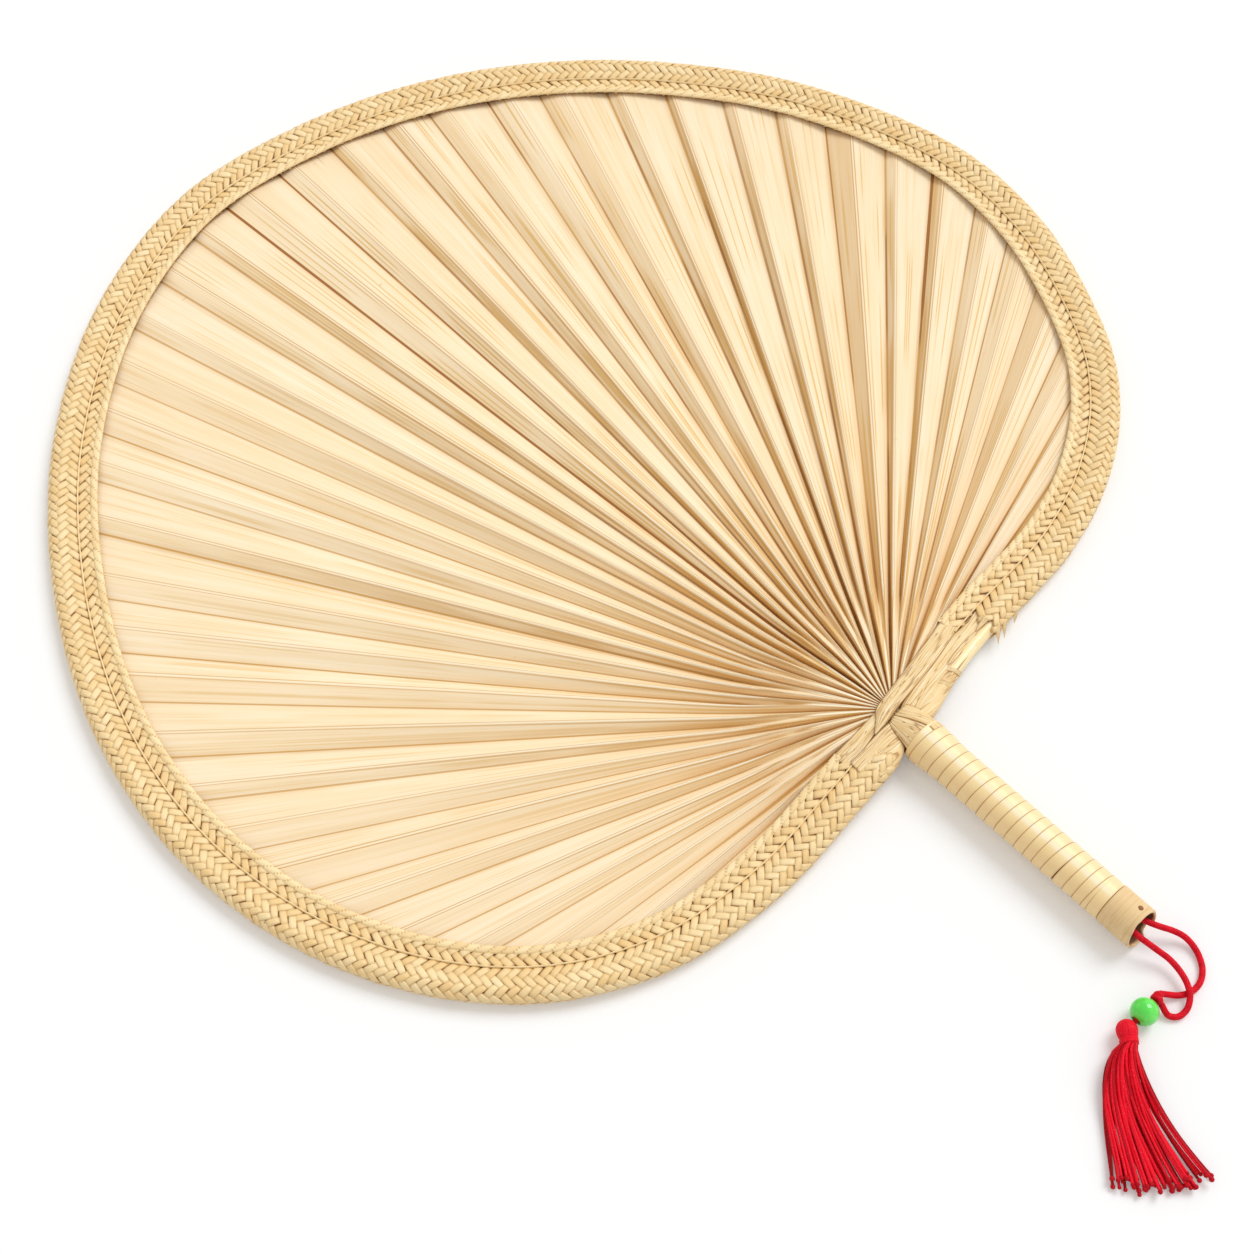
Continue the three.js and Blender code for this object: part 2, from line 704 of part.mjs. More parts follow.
function neckBandGeometry() {
  const inner = tasselNeckRadius + seatGap;
  const outer = inner + neckBandThickness;
  const from = -Math.sqrt(tasselHeadRadius ** 2 - tasselNeckRadius ** 2) - seatGap;
  const to = from - neckBandWidth;
  return lathe([
    [inner, from], [outer - neckBandSoft, from], [outer, from - neckBandSoft], [outer, to + neckBandSoft],
    [outer - neckBandSoft, to], [inner, to], [inner, from],
  ], tasselSides).rotateZ(Math.PI / 2);
}

// A flared, fluted skirt that sinks from the neck to the surface it lies on
function skirtGeometry() {
  const count = skirtFlutes * 3;
  const section = circle(1, count).map((p, i) => {
    return p.multiplyScalar(i % 3 === 0 ? 1 - skirtFluteDepth : 1);
  });
  const from = tasselNeckReach + seatGap;
  const floor = groundClearance - beadZ;
  const tipHalf = skirtReach * Math.tan(skirtSpread);
  const rings = skirtRings.map((share) => {
    const along = from + (skirtReach - from) * share;
    const halfWidth = THREE.MathUtils.lerp(tasselNeckRadius, tipHalf, share);
    const halfHeight = THREE.MathUtils.lerp(tasselNeckRadius, skirtTipHalfHeight, share);
    const sunk = THREE.MathUtils.smoothstep(share, 0, skirtSinkShare);
    const under = THREE.MathUtils.lerp(-tasselNeckRadius, floor, sunk);
    return section.map((p) => new THREE.Vector3(along, p.x * halfWidth, under + (1 + p.y) * halfHeight));
  });
  return loft(rings, section);
}

// Assembly: the origin is the middle of the fan's width and length, and the surface it lies on is z = 0

const object = new THREE.Group();
const fan = new THREE.Group();
object.add(fan);

const blade = new THREE.Group();
piece(blade, "palm_leaf", leafGeometry(), leafStraw);
piece(blade, "rim_hoop", hoopGeometry(), cane);
piece(blade, "rim_braid", rimBraidGeometry(), straw);
const frontBraid = rimSweep(edgeBraidSection(1), edgeBraidEndLeft, edgeBraidEndRight);
piece(blade, "edge_braid_front", frontBraid, straw);
piece(blade, "edge_braid_back", rimSweep(edgeBraidSection(-1)), straw);
piece(blade, "base_strip_left", leftStripGeometry(), straw);
piece(blade, "base_strip_right", rightStripGeometry(), straw);
piece(blade, "lining_strip_front", liningGeometry(1), straw);
piece(blade, "lining_strip_back", liningGeometry(-1), straw);
piece(blade, "hoop_wrap", hoopWrapGeometry(), straw);
fan.add(blade);

const handle = new THREE.Group();
for (const [side, path] of Object.entries(lashPaths)) {
  piece(handle, "lash_front_" + side, lashGeometry(path, 1), straw);
  piece(handle, "lash_back_" + side, lashGeometry(path, -1), straw);
}
piece(handle, "handle_tube", tubeGeometry(), bamboo);
piece(handle, "handle_winding", windingGeometry(), cane);
piece(handle, "cord_peg", pegGeometry(), bamboo);
fan.add(handle);

const loop = new THREE.Group();
loop.position.y = -handleLength;
piece(loop, "cord_bight", bightGeometry(), redThread);
piece(loop, "cord_leg_a", legGeometry(legARoute), redThread);
piece(loop, "cord_leg_b", legGeometry(legBRoute), redThread);
piece(loop, "loop_knot", knotGeometry(), redThread);
piece(loop, "hanger_cord", hangerGeometry(), redThread);
piece(loop, "bead", beadGeometry(), greenGloss);
fan.add(loop);

const tassel = new THREE.Group();
tassel.position.set(tasselX, -beadDrop, beadZ);
tassel.rotation.z = tasselHeading;
piece(tassel, "tassel_head", tasselHeadGeometry(), redThread);
piece(tassel, "tassel_neck_band", neckBandGeometry(), redThread);
piece(tassel, "tassel_skirt", skirtGeometry(), redThread);
loop.add(tassel);

const rested = new THREE.Box3();
for (const group of [blade, handle]) rested.expandByObject(group, true);
fan.position.set(-(rested.min.x + rested.max.x) / 2, -(rested.min.y + rested.max.y) / 2, -rested.min.z);

export default object;
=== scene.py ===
import math
import random

import bmesh
import bpy
import numpy as np
from mathutils import Matrix, Vector


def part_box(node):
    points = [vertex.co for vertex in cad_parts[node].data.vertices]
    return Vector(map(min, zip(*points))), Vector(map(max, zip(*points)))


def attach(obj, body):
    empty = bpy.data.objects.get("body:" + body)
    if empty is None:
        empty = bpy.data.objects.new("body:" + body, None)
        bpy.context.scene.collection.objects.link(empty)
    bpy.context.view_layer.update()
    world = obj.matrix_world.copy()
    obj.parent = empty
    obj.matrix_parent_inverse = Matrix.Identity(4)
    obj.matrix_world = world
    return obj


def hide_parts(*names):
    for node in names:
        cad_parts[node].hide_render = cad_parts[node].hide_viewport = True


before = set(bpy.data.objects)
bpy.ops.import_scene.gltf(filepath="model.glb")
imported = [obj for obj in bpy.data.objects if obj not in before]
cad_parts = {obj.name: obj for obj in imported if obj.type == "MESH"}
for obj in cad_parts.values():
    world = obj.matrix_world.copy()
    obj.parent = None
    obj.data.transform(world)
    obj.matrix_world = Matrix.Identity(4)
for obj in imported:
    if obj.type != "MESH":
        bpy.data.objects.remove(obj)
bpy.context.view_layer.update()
scene = bpy.context.scene
scene.view_settings.view_transform = "Standard"
print("frame loaded")

# Pieces are drawn in millimetres from the top of the handle, and placed in metres
mm = 0.001
tube = {
    "top": 0.6, "length": 102, "radius": 6.9, "sleeveLength": 14, "sleeveRadius": 8.05, "mouthRadius": 6.95,
    "mouthDepth": 11, "bore": 5.2, "slant": math.tan(math.radians(11)), "axisZ": 8.962,
}
tubeLow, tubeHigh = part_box("handle_tube")
headSpot = Vector(((tubeLow.x + tubeHigh.x) / 2, tubeHigh.y + tube["top"] * mm, 0))


def place(point):
    return headSpot + Vector(point) * mm


# Node helpers: a wire is one socket, and maths on wires adds Math nodes


class Wire:
    def __init__(self, nodes, socket):
        self.nodes = nodes
        self.socket = socket

    def other(self, name):
        return Wire(self.nodes, self.socket.node.outputs[name])

    def math(self, operation, *others):
        return self.nodes.maths(operation, self, *others)

    def smooth(self, low, high):
        return self.nodes.node("ShaderNodeMapRange", {"interpolation_type": "SMOOTHSTEP"},
                               {"Value": self, "From Min": low, "From Max": high})

    def clamp(self, low, high):
        return self.math("MAXIMUM", low).math("MINIMUM", high)

    def __abs__(self):
        return self.math("ABSOLUTE")

    def __mod__(self, value):
        return self.math("FLOORED_MODULO", value)

    def __add__(self, value):
        return self.math("ADD", value)

    def __sub__(self, value):
        return self.math("SUBTRACT", value)

    def __rsub__(self, value):
        return self.nodes.maths("SUBTRACT", value, self)

    def __mul__(self, value):
        return self.math("MULTIPLY", value)

    def __truediv__(self, value):
        return self.math("DIVIDE", value)

    def __rtruediv__(self, value):
        return self.nodes.maths("DIVIDE", value, self)

    def __pow__(self, value):
        return self.math("POWER", value)

    def __lt__(self, value):
        return self.math("LESS_THAN", value)

    def __gt__(self, value):
        return self.math("GREATER_THAN", value)

    __radd__ = __add__
    __rmul__ = __mul__


class Nodes:
    def __init__(self, tree):
        self.tree = tree
        tree.nodes.clear()

    def node(self, kind, settings=None, inputs=None, output=0):
        made = self.tree.nodes.new(kind)
        for name, value in (settings or {}).items():
            if name == "stops":
                ramp = made.color_ramp.elements
                while len(ramp) < len(value):
                    ramp.new(1)
                for stop, (position, color) in zip(ramp, value):
                    stop.position = position
                    stop.color = (*color, 1)
            else:
                setattr(made, name, value)
        for name, value in (inputs or {}).items():
            for each in value if isinstance(value, list) else [value]:
                if isinstance(each, Wire):
                    self.tree.links.new(each.socket, made.inputs[name])
                else:
                    made.inputs[name].default_value = each
        return Wire(self, made.outputs[output]) if made.outputs else None

    def maths(self, operation, *values):
        return self.node("ShaderNodeMath", {"operation": operation}, dict(enumerate(values)))

    def vector(self, x, y, z):
        return self.node("ShaderNodeCombineXYZ", None, {"X": x, "Y": y, "Z": z})

    def parts(self, vector):
        x = self.node("ShaderNodeSeparateXYZ", None, {"Vector": vector})
        return x, x.other("Y"), x.other("Z")

    def mix(self, factor, a, b):
        first, second = (color if isinstance(color, Wire) else (*color, 1) for color in (a, b))
        return self.node("ShaderNodeMix", {"data_type": "RGBA"}, {0: factor, 6: first, 7: second}, 2)

    def blend(self, factor, a, b):
        return a + (b - a) * factor

    def noise(self, spot, detail=2.0, rough=0.5, scale=1.0):
        vector = self.vector(*spot) if isinstance(spot, tuple) else spot
        return self.node("ShaderNodeTexNoise", None,
                         {"Vector": vector, "Scale": scale, "Detail": detail, "Roughness": rough}, "Fac")

    def spot(self):
        return self.parts(self.node("GeometryNodeInputPosition"))

    def realize(self, shape):
        return self.node("GeometryNodeRealizeInstances", None, {"Geometry": shape})

    def join(self, *shapes):
        return self.node("GeometryNodeJoinGeometry", None, {"Geometry": list(shapes)})

    def sweep(self, path, profile):
        return self.node("GeometryNodeCurveToMesh", None,
                         {"Curve": path, "Profile Curve": profile, "Fill Caps": True})

    def flip(self, shape):
        return self.node("GeometryNodeFlipFaces", None, {"Mesh": shape})

    def cube(self, size, *counts):
        sides = {"Vertices " + axis: count for axis, count in zip("XYZ", counts)}
        return self.node("GeometryNodeMeshCube", None, {"Size": size, **sides})

    def seen(self):
        # one for what the camera sees, also in glossy and transmitted rays
        rays = self.node("ShaderNodeLightPath", None, None, "Is Camera Ray")
        mirrored = rays.math("MAXIMUM", rays.other("Is Glossy Ray"))
        return mirrored.math("MAXIMUM", rays.other("Is Transmission Ray"))

    def attribute(self, name, output="Fac"):
        return self.node("ShaderNodeAttribute", {"attribute_name": name}, None, output)

    def chance(self, low, high, seed, number=None):
        sockets = {2: low, 3: high, "Seed": seed}
        if number is not None:
            sockets["ID"] = number
        return self.node("FunctionNodeRandomValue", {"data_type": "FLOAT"}, sockets, 1)

    def store(self, shape, name, value, kind="FLOAT", domain="POINT"):
        return self.node("GeometryNodeStoreNamedAttribute", {"data_type": kind, "domain": domain},
                         {"Geometry": shape, "Name": name, "Value": value})

    def move(self, shape, position):
        return self.node("GeometryNodeSetPosition", None, {"Geometry": shape, "Position": position})


# Finishes


def finish(name, paint):
    material = bpy.data.materials.new(name)
    material.use_nodes = True
    t = Nodes(material.node_tree)
    surface = t.node("ShaderNodeBsdfPrincipled", None, paint(t), "BSDF")
    t.node("ShaderNodeOutputMaterial", None, {"Surface": surface})
    return material


def bump(t, height, strength, depth):
    return t.node("ShaderNodeBump", None, {"Strength": strength, "Distance": depth * mm, "Height": height})


leafPaint = {
    "light": (0.99, 0.84, 0.605), "warm": (0.945, 0.71, 0.42), "tan": (0.66, 0.385, 0.13),
    "gold": (0.79, 0.51, 0.185), "line": (0.62, 0.33, 0.085), "ridge": (0.995, 0.90, 0.69),
    "brown": (0.36, 0.14, 0.028),
    "gapShades": [(0.0, (0.74, 0.47, 0.18)), (0.35, (0.50, 0.24, 0.06)), (0.7, (0.24, 0.075, 0.012)),
               (1.0, (0.10, 0.018, 0.003))],
    "upperStart": 43.0, "upperFull": 48.0, "rightFull": 66.0, "gapReach": 150.0,
}


def paintLeaf(t):
    across = t.attribute("strand")
    reach = t.attribute("reach")
    ridge = t.attribute("ridge")
    width = t.attribute("width")
    split = t.attribute("split")

    def luck(number):
        return t.node("ShaderNodeTexWhiteNoise", {"noise_dimensions": "1D"}, {"W": number}, "Value")

    def thin(distance, half):
        return 1 - (abs(distance) / half).smooth(0.25, 1.0)

    strip = t.maths("FLOOR", across)
    shade = luck(strip)
    valleyNumber = t.maths("ROUND", across * 0.5)
    valley = luck(valleyNumber)
    crestLuck = luck(t.maths("FLOOR", across * 0.5) + 200.5)
    fibres = t.noise((across * 5, reach * 0.012, strip), 3.0, 0.6)
    fine = t.noise((across * 22, reach * 0.014, strip * 3.1), 2.0, 0.6)
    cloud = t.noise((across * 0.5, reach * 0.02, 4.0), 2.0)
    patch = t.noise((across * 0.9, reach * 0.018, 12.0), 1.0).smooth(0.4, 0.6)
    pale = fibres * 1.9 + (shade - 0.5) * 0.3 + cloud * 0.6 - 0.7
    color = t.mix(pale, leafPaint["warm"], leafPaint["light"])
    color = t.mix(fine.smooth(0.54, 0.74) * 0.4, color, leafPaint["gold"])
    fromValley = ridge * width
    fromRidge = (1 - ridge) * width
    # golden lines run in each strip, beside each ridge and in each valley
    upper = across.smooth(leafPaint["upperStart"], leafPaint["upperFull"])
    right = across.smooth(leafPaint["upperFull"], leafPaint["rightFull"])
    for seed in (300.5, 400.5, 500.5):
        gold = thin((ridge - luck(strip + seed) * 0.6 - 0.2) * width, 0.5) * patch * (0.45 + upper * 0.4)
        color = t.mix(gold, color, leafPaint["gold"])
    # painted shade in tan beside each valley, stronger in the right part
    valleyShadeReach = 0.5 + luck(valleyNumber + 600.5)
    valleyShade = (1 - (fromValley / valleyShadeReach).smooth(0.2, 2.8)) * (0.1 + valley * 0.36) * (1 + right * 0.9)
    color = t.mix(valleyShade * (0.4 + patch * 0.6), color, leafPaint["tan"])
    # the narrow riser strips in the right part get painted shade
    shadedRiser = 1 - strip % 2.0
    color = t.mix(shadedRiser * right * (0.15 + crestLuck * 0.35), color, leafPaint["tan"])
    color = t.mix(thin(fromRidge - 0.75, 0.42) * (0.4 + crestLuck * 0.38), color, leafPaint["line"])
    # towards the hub the folds get painted shade beside each valley and a dark brown painted shade in the
    # gaps, most of all in the upper half
    near = 1 - reach.smooth(5, leafPaint["gapReach"])
    gap = 0.06 + near * 0.36
    shadedFlank = 1 - (ridge / (gap * 2.2)).smooth(0.3, 1.0)
    color = t.mix(shadedFlank * near * (0.14 + upper * 0.3) * (0.3 + valley), color, leafPaint["tan"])
    dark = (1 - (ridge / gap).smooth(0.3, 1.0)) * (0.24 + upper * 0.66)
    dark = dark * (0.2 + near) * (0.08 + valley * 1.15)
    depth = t.node("ShaderNodeValToRGB", {"stops": leafPaint["gapShades"]}, {"Fac": dark}, "Color")
    color = t.mix(dark.smooth(0.02, 0.3), color, depth)
    line = thin(fromValley, 0.55 + split * 0.3)
    color = t.mix(line * (0.75 + valley * 0.25), color, leafPaint["line"])
    # broken dark brown lines in the upper valleys are painted shade; along the splits the brown line marks
    # the split itself
    broken = t.noise((valleyNumber * 3.7, reach * 0.017, 20.0), 1.0).smooth(0.44, 0.56)
    color = t.mix(line * (broken * upper * (0.35 + valley * 0.65) + split), color, leafPaint["brown"])
    # a pale line along each ridge: the leaf's folded edge with a painted highlight, stronger near the hub
    crest = thin(fromRidge, 0.6) * ridge.smooth(0.55, 0.75)
    color = t.mix(crest * (0.45 + near * 0.5), color, leafPaint["ridge"])
    spots = t.noise((across * 1.1, reach * 0.22, 9.0), 2.0).smooth(0.75, 0.8)
    color = t.mix(spots * 0.4, color, leafPaint["tan"])
    return {
        "Base Color": color, "Roughness": 0.5 + fibres * 0.2, "Specular IOR Level": 0.3,
        "Normal": bump(t, fibres + fine * 0.5, 0.35, 0.25),
    }


strawPaint = {
    "light": (0.97, 0.765, 0.43), "warm": (0.855, 0.575, 0.245), "dark": (0.56, 0.28, 0.07),
    "brown": (0.40, 0.175, 0.04), "pit": (0.24, 0.085, 0.018), "bright": (0.995, 0.895, 0.67),
}


def paintPlait(t):
    x, y = t.parts(t.attribute("grain", "Vector"))[:2]
    tint = t.attribute("tint")
    fibres = t.noise((x * 1.2, y * 13, tint * 60), 3.0, 0.65)
    # tint is each tile's random tone plus a painted sheen on the rows of one slant
    color = t.mix(tint * 0.9 + (fibres - 0.5) * 0.9, strawPaint["warm"], strawPaint["light"])
    # painted shade at the tile ends and sides, where strands tuck under their neighbours, and in the notches
    # of the edge cords
    ends = abs(x * 2).smooth(0.72, 1.0)
    sides = abs(y * 2).smooth(0.82, 1.0)
    color = t.mix(fibres.smooth(0.6, 0.75) * tint * 0.9, color, strawPaint["bright"])
    color = t.mix(ends.math("MAXIMUM", sides * 0.7) * 0.5, color, strawPaint["dark"])
    # the underlay, which has no tint, is painted a deep shade, as seen in the gaps between tiles
    color = t.mix((0.06 - tint).smooth(0.0, 0.05), color, strawPaint["pit"])
    return {
        "Base Color": color, "Roughness": 0.5 - fibres * 0.15, "Specular IOR Level": 0.4,
        "Normal": bump(t, fibres, 0.3, 0.2),
    }


def paintRibbon(t):
    x, y, z = t.parts(t.attribute("grain", "Vector"))
    fibres = t.noise((x * 0.04, y * 5, z), 4.0, 0.6)
    fine = t.noise((x * 0.07, y * 16, z + 5), 3.0, 0.65)
    creases = t.noise((x * 0.035, y * 5, z + 9), 2.0)
    slits = t.noise((x * 0.3, y * 9, z + 14), 1.0)
    color = t.mix(fibres * 2.2 - 0.65, strawPaint["warm"], strawPaint["light"])
    color = t.mix(fine.smooth(0.56, 0.7) * 0.55, color, strawPaint["dark"])
    color = t.mix((0.46 - fine).smooth(0.0, 0.12) * 0.85, color, strawPaint["bright"])
    # painted shade along the creases, which also dent the bump
    crease = 1 - abs(creases - 0.5).smooth(0.0, 0.03)
    color = t.mix(crease * 0.75, color, strawPaint["brown"])
    # slits painted in deep shade
    color = t.mix(slits.smooth(0.71, 0.76) * 0.9, color, strawPaint["pit"])
    # painted shade along both edges of each strip, where the strips meet
    color = t.mix(abs(y * 2).smooth(0.84, 0.98) * 0.8, color, strawPaint["brown"])
    return {
        "Base Color": color, "Roughness": 0.42 + fine * 0.2, "Specular IOR Level": 0.4,
        "Normal": bump(t, fibres - fine * 0.6 - crease * 0.4, 0.5, 0.45),
    }


canePaint = {
    "light": (0.995, 0.83, 0.46), "warm": (0.985, 0.71, 0.325), "line": (0.42, 0.18, 0.04),
    "bright": (0.995, 0.91, 0.70), "shade": (0.95, 0.65, 0.30), "sunny": (0.94, 0.70, 0.385),
}


def paintWinding(t):
    along = t.attribute("along")
    across = t.attribute("across")
    side = t.attribute("side")
    fibres = t.noise((along * 0.02, across * 7, 1.0), 3.0, 0.6)
    patches = t.noise((along * 0.06, across * 0.6, 7.0), 2.0)
    color = t.mix(fibres * 1.2 + patches * 0.9 - 0.55, canePaint["warm"], canePaint["light"])
    # painted shade on the side away from the sun, and a deeper tone painted on the sunlit side to hold back
    # its light
    color = t.mix((-0.1 - side).smooth(0.0, 0.8) * 0.6, color, canePaint["shade"])
    color = t.mix(side.smooth(0.0, 0.8) * 0.7, color, canePaint["sunny"])
    # a painted highlight runs along the top
    paintedShine = 1 - abs(side + 0.14).smooth(0.02, 0.22)
    color = t.mix(paintedShine * (0.2 + patches * 0.8), color, canePaint["bright"])
    edge = abs(across * 2).smooth(0.84, 0.96)
    color = t.mix(edge * 0.85, color, canePaint["line"])
    return {
        "Base Color": color, "Roughness": 0.36 + fibres * 0.12, "Specular IOR Level": 0.5,
        "Coat Weight": 0.25, "Coat Roughness": 0.3, "Normal": bump(t, fibres, 0.2, 0.15),
    }


bambooPaint = {
    "light": (0.92, 0.70, 0.40), "warm": (0.74, 0.49, 0.215), "dark": (0.36, 0.15, 0.035),
    "bore": (0.14, 0.035, 0.006), "paleEnd": -99.0, "darkEnd": -94.0, "sleeveLow": -88.4, "sleeveHigh": -87.6,
}


def paintBamboo(t):
    y = t.attribute("alongTube")
    inside = t.attribute("inside")
    rings = t.noise((0.0, y * 0.8, t.attribute("turn") * 0.5), 3.0, 0.75)
    stains = t.noise((t.attribute("turn") * 3, y * 0.22, 3.0), 3.0)
    color = t.mix(rings * 3.2 - 1.05, bambooPaint["warm"], bambooPaint["light"])
    color = t.mix(rings.smooth(0.56, 0.7) * 0.6, color, bambooPaint["dark"])
    color = t.mix(y.smooth(bambooPaint["paleEnd"], bambooPaint["darkEnd"]) * 0.3, color, bambooPaint["warm"])
    color = t.mix(stains.smooth(0.55, 0.8) * 0.35, color, bambooPaint["warm"])
    # the tube from the end of the winding up is painted dark, as the shade under the winding
    color = t.mix(y.smooth(bambooPaint["sleeveLow"], bambooPaint["sleeveHigh"]), color, bambooPaint["dark"])
    # painted shade in the bore
    color = t.mix(inside * 0.92, color, bambooPaint["bore"])
    return {
        "Base Color": color, "Roughness": 0.48 + rings * 0.15, "Specular IOR Level": 0.4,
        "Normal": bump(t, rings, 0.35, 0.2),
    }


def paintRod(t):
    x, y = t.parts(t.attribute("grain", "Vector"))[:2]
    fibres = t.noise((x * 0.03, y * 14, 2.0), 3.0, 0.6)
    patches = t.noise((x * 0.2, y * 5, 6.0), 2.0).smooth(0.5, 0.66)
    color = t.mix(fibres * 1.4 - 0.1, canePaint["warm"], canePaint["light"])
    # pale patches are painted highlights
    color = t.mix(patches * 0.85, color, canePaint["bright"])
    return {
        "Base Color": color, "Roughness": 0.32 + fibres * 0.12, "Coat Weight": 0.2, "Coat Roughness": 0.3,
        "Normal": bump(t, fibres, 0.25, 0.15),
    }


threadPaint = {"light": (0.86, 0.003, 0.02), "dark": (0.27, 0.001, 0.003), "paintedShine": (0.96, 0.17, 0.22)}


def paintThread(t):
    groove = t.attribute("groove")
    spot = t.node("ShaderNodeTexCoord", None, None, "Object")
    fibres = t.noise(spot, 2.0, 0.6, 2600.0)
    # painted shade in the cord's grooves, the head's lobes and the skirt's darker strands
    color = t.mix(groove.smooth(0.1, 0.9), threadPaint["light"], threadPaint["dark"])
    # bright flecks along the threads are painted highlights
    color = t.mix(fibres.smooth(0.6, 0.7) * (1 - groove) * 0.6, color, threadPaint["paintedShine"])
    return {
        "Base Color": color, "Roughness": 0.5 + groove * 0.2, "Specular IOR Level": 0.14,
        "Sheen Weight": 0.04, "Sheen Roughness": 0.4, "Normal": bump(t, fibres, 0.25, 0.08),
    }


beadPaint = {"deep": (0.075, 0.70, 0.055), "light": (0.15, 0.86, 0.11)}


def paintBead(t):
    spot = t.node("ShaderNodeTexCoord", None, None, "Object")
    cloud = t.noise(spot, scale=260.0)
    color = t.mix(cloud.smooth(0.35, 0.7), beadPaint["deep"], beadPaint["light"])
    return {
        "Base Color": color, "Roughness": 0.16 + cloud * 0.08, "Coat Weight": 0.4, "Coat Roughness": 0.08,
        "Specular IOR Level": 0.5,
    }


leafFinish = finish("leafFinish", paintLeaf)
plaitFinish = finish("plaitFinish", paintPlait)
ribbonFinish = finish("ribbonFinish", paintRibbon)
windingFinish = finish("windingFinish", paintWinding)
bambooFinish = finish("bambooFinish", paintBamboo)
rodFinish = finish("rodFinish", paintRod)
threadFinish = finish("threadFinish", paintThread)
beadFinish = finish("beadFinish", paintBead)
print("finishes ready")

# Piece helpers


def addPiece(mesh, body, slot, *nodes):
    piece = bpy.data.objects.new(mesh.name, mesh)
    scene.collection.objects.link(piece)
    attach(piece, body)
    if nodes:
        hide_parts(*nodes)
    return piece


def ringFaces(rings, sides, joined=False):
    # faces between rings of points, with two caps unless the last ring joins the first
    faces = []
    for i in range(rings if joined else rings - 1):
        near, far = i * sides, (i + 1) % rings * sides
        for j in range(sides):
            k = (j + 1) % sides
            faces.append((near + j, near + k, far + k, far + j))
    if not joined:
        faces.append(tuple(reversed(range(sides))))
        faces.append(tuple((rings - 1) * sides + j for j in range(sides)))
    return faces


def closedMesh(name, points, sides, material, values=None, joined=False):
    # rings of points, each with as many points as there are sides
    mesh = bpy.data.meshes.new(name)
    faces = ringFaces(len(points) // sides, sides, joined)
    mesh.from_pydata([place(p) for p in points], [], faces)
    for label, data in (values or {}).items():
        vectors = len(np.shape(data)) == 2
        made = mesh.attributes.new(label, "FLOAT_VECTOR" if vectors else "FLOAT", "POINT")
        made.data.foreach_set("vector" if vectors else "value", np.array(data, np.float32).ravel())
    edit = bmesh.new()
    edit.from_mesh(mesh)
    bmesh.ops.recalc_face_normals(edit, faces=edit.faces)
    edit.to_mesh(mesh)
    edit.free()
    mesh.shade_smooth()
    mesh.materials.append(material)
    return mesh


def turnedPoints(stops, sides, pointAt):
    # a point for each angle round each stop
    return [pointAt(*stop, 2 * math.pi * j / sides) for stop in stops for j in range(sides)]


def between(points, u):
    # a smooth step from the second of four points to the third
    p0, p1, p2, p3 = points
    t0, t1 = (p2 - p0) / 2, (p3 - p1) / 2
    return p1 + t0 * u + (3 * (p2 - p1) - 2 * t0 - t1) * u**2 + (2 * (p1 - p2) + t0 + t1) * u**3


def smoothPath(points, step):
    # a rounded line through the points, with a point about every step
    p = [2 * Vector(points[0]) - Vector(points[1])] + [Vector(q) for q in points]
    p.append(2 * p[-1] - p[-2])
    line = []
    for i in range(1, len(p) - 2):
        gap = [max((p[i + k] - p[i + k - 1]).length, 1e-6) ** 0.5 for k in range(3)]
        count = max(2, round((p[i + 1] - p[i]).length / step))
        m1 = (p[i] - p[i - 1]) / gap[0] - (p[i + 1] - p[i - 1]) / (gap[0] + gap[1])
        m1 = (m1 + (p[i + 1] - p[i]) / gap[1]) * gap[1]
        m2 = (p[i + 1] - p[i]) / gap[1] - (p[i + 2] - p[i]) / (gap[1] + gap[2])
        m2 = (m2 + (p[i + 2] - p[i + 1]) / gap[2]) * gap[1]
        for j in range(count):
            u = j / count
            line.append(p[i] * (2 * u**3 - 3 * u**2 + 1) + m1 * (u**3 - 2 * u**2 + u)
                        + p[i + 1] * (3 * u**2 - 2 * u**3) + m2 * (u**3 - u**2))
    line.append(p[-2])
    return line


def tubeAlong(line, sides, radiusAt):
    # rings of points round a line; radiusAt(length, angle) also gives the groove value, which is painted as
    # shade
    points, grooves, length = [], [], 0.0
    side = None
    for i, spot in enumerate(line):
        ahead = (line[min(i + 1, len(line) - 1)] - line[max(i - 1, 0)]).normalized()
        if side is None:
            side = ahead.orthogonal().normalized()
        side = (side - ahead * side.dot(ahead)).normalized()
        rise = ahead.cross(side)
        if i:
            length += (spot - line[i - 1]).length
        for j in range(sides):
            angle = 2 * math.pi * j / sides
            radius, groove = radiusAt(length, angle)
            points.append(spot + (side * math.cos(angle) + rise * math.sin(angle)) * radius)
            grooves.append(groove)
    return points, grooves


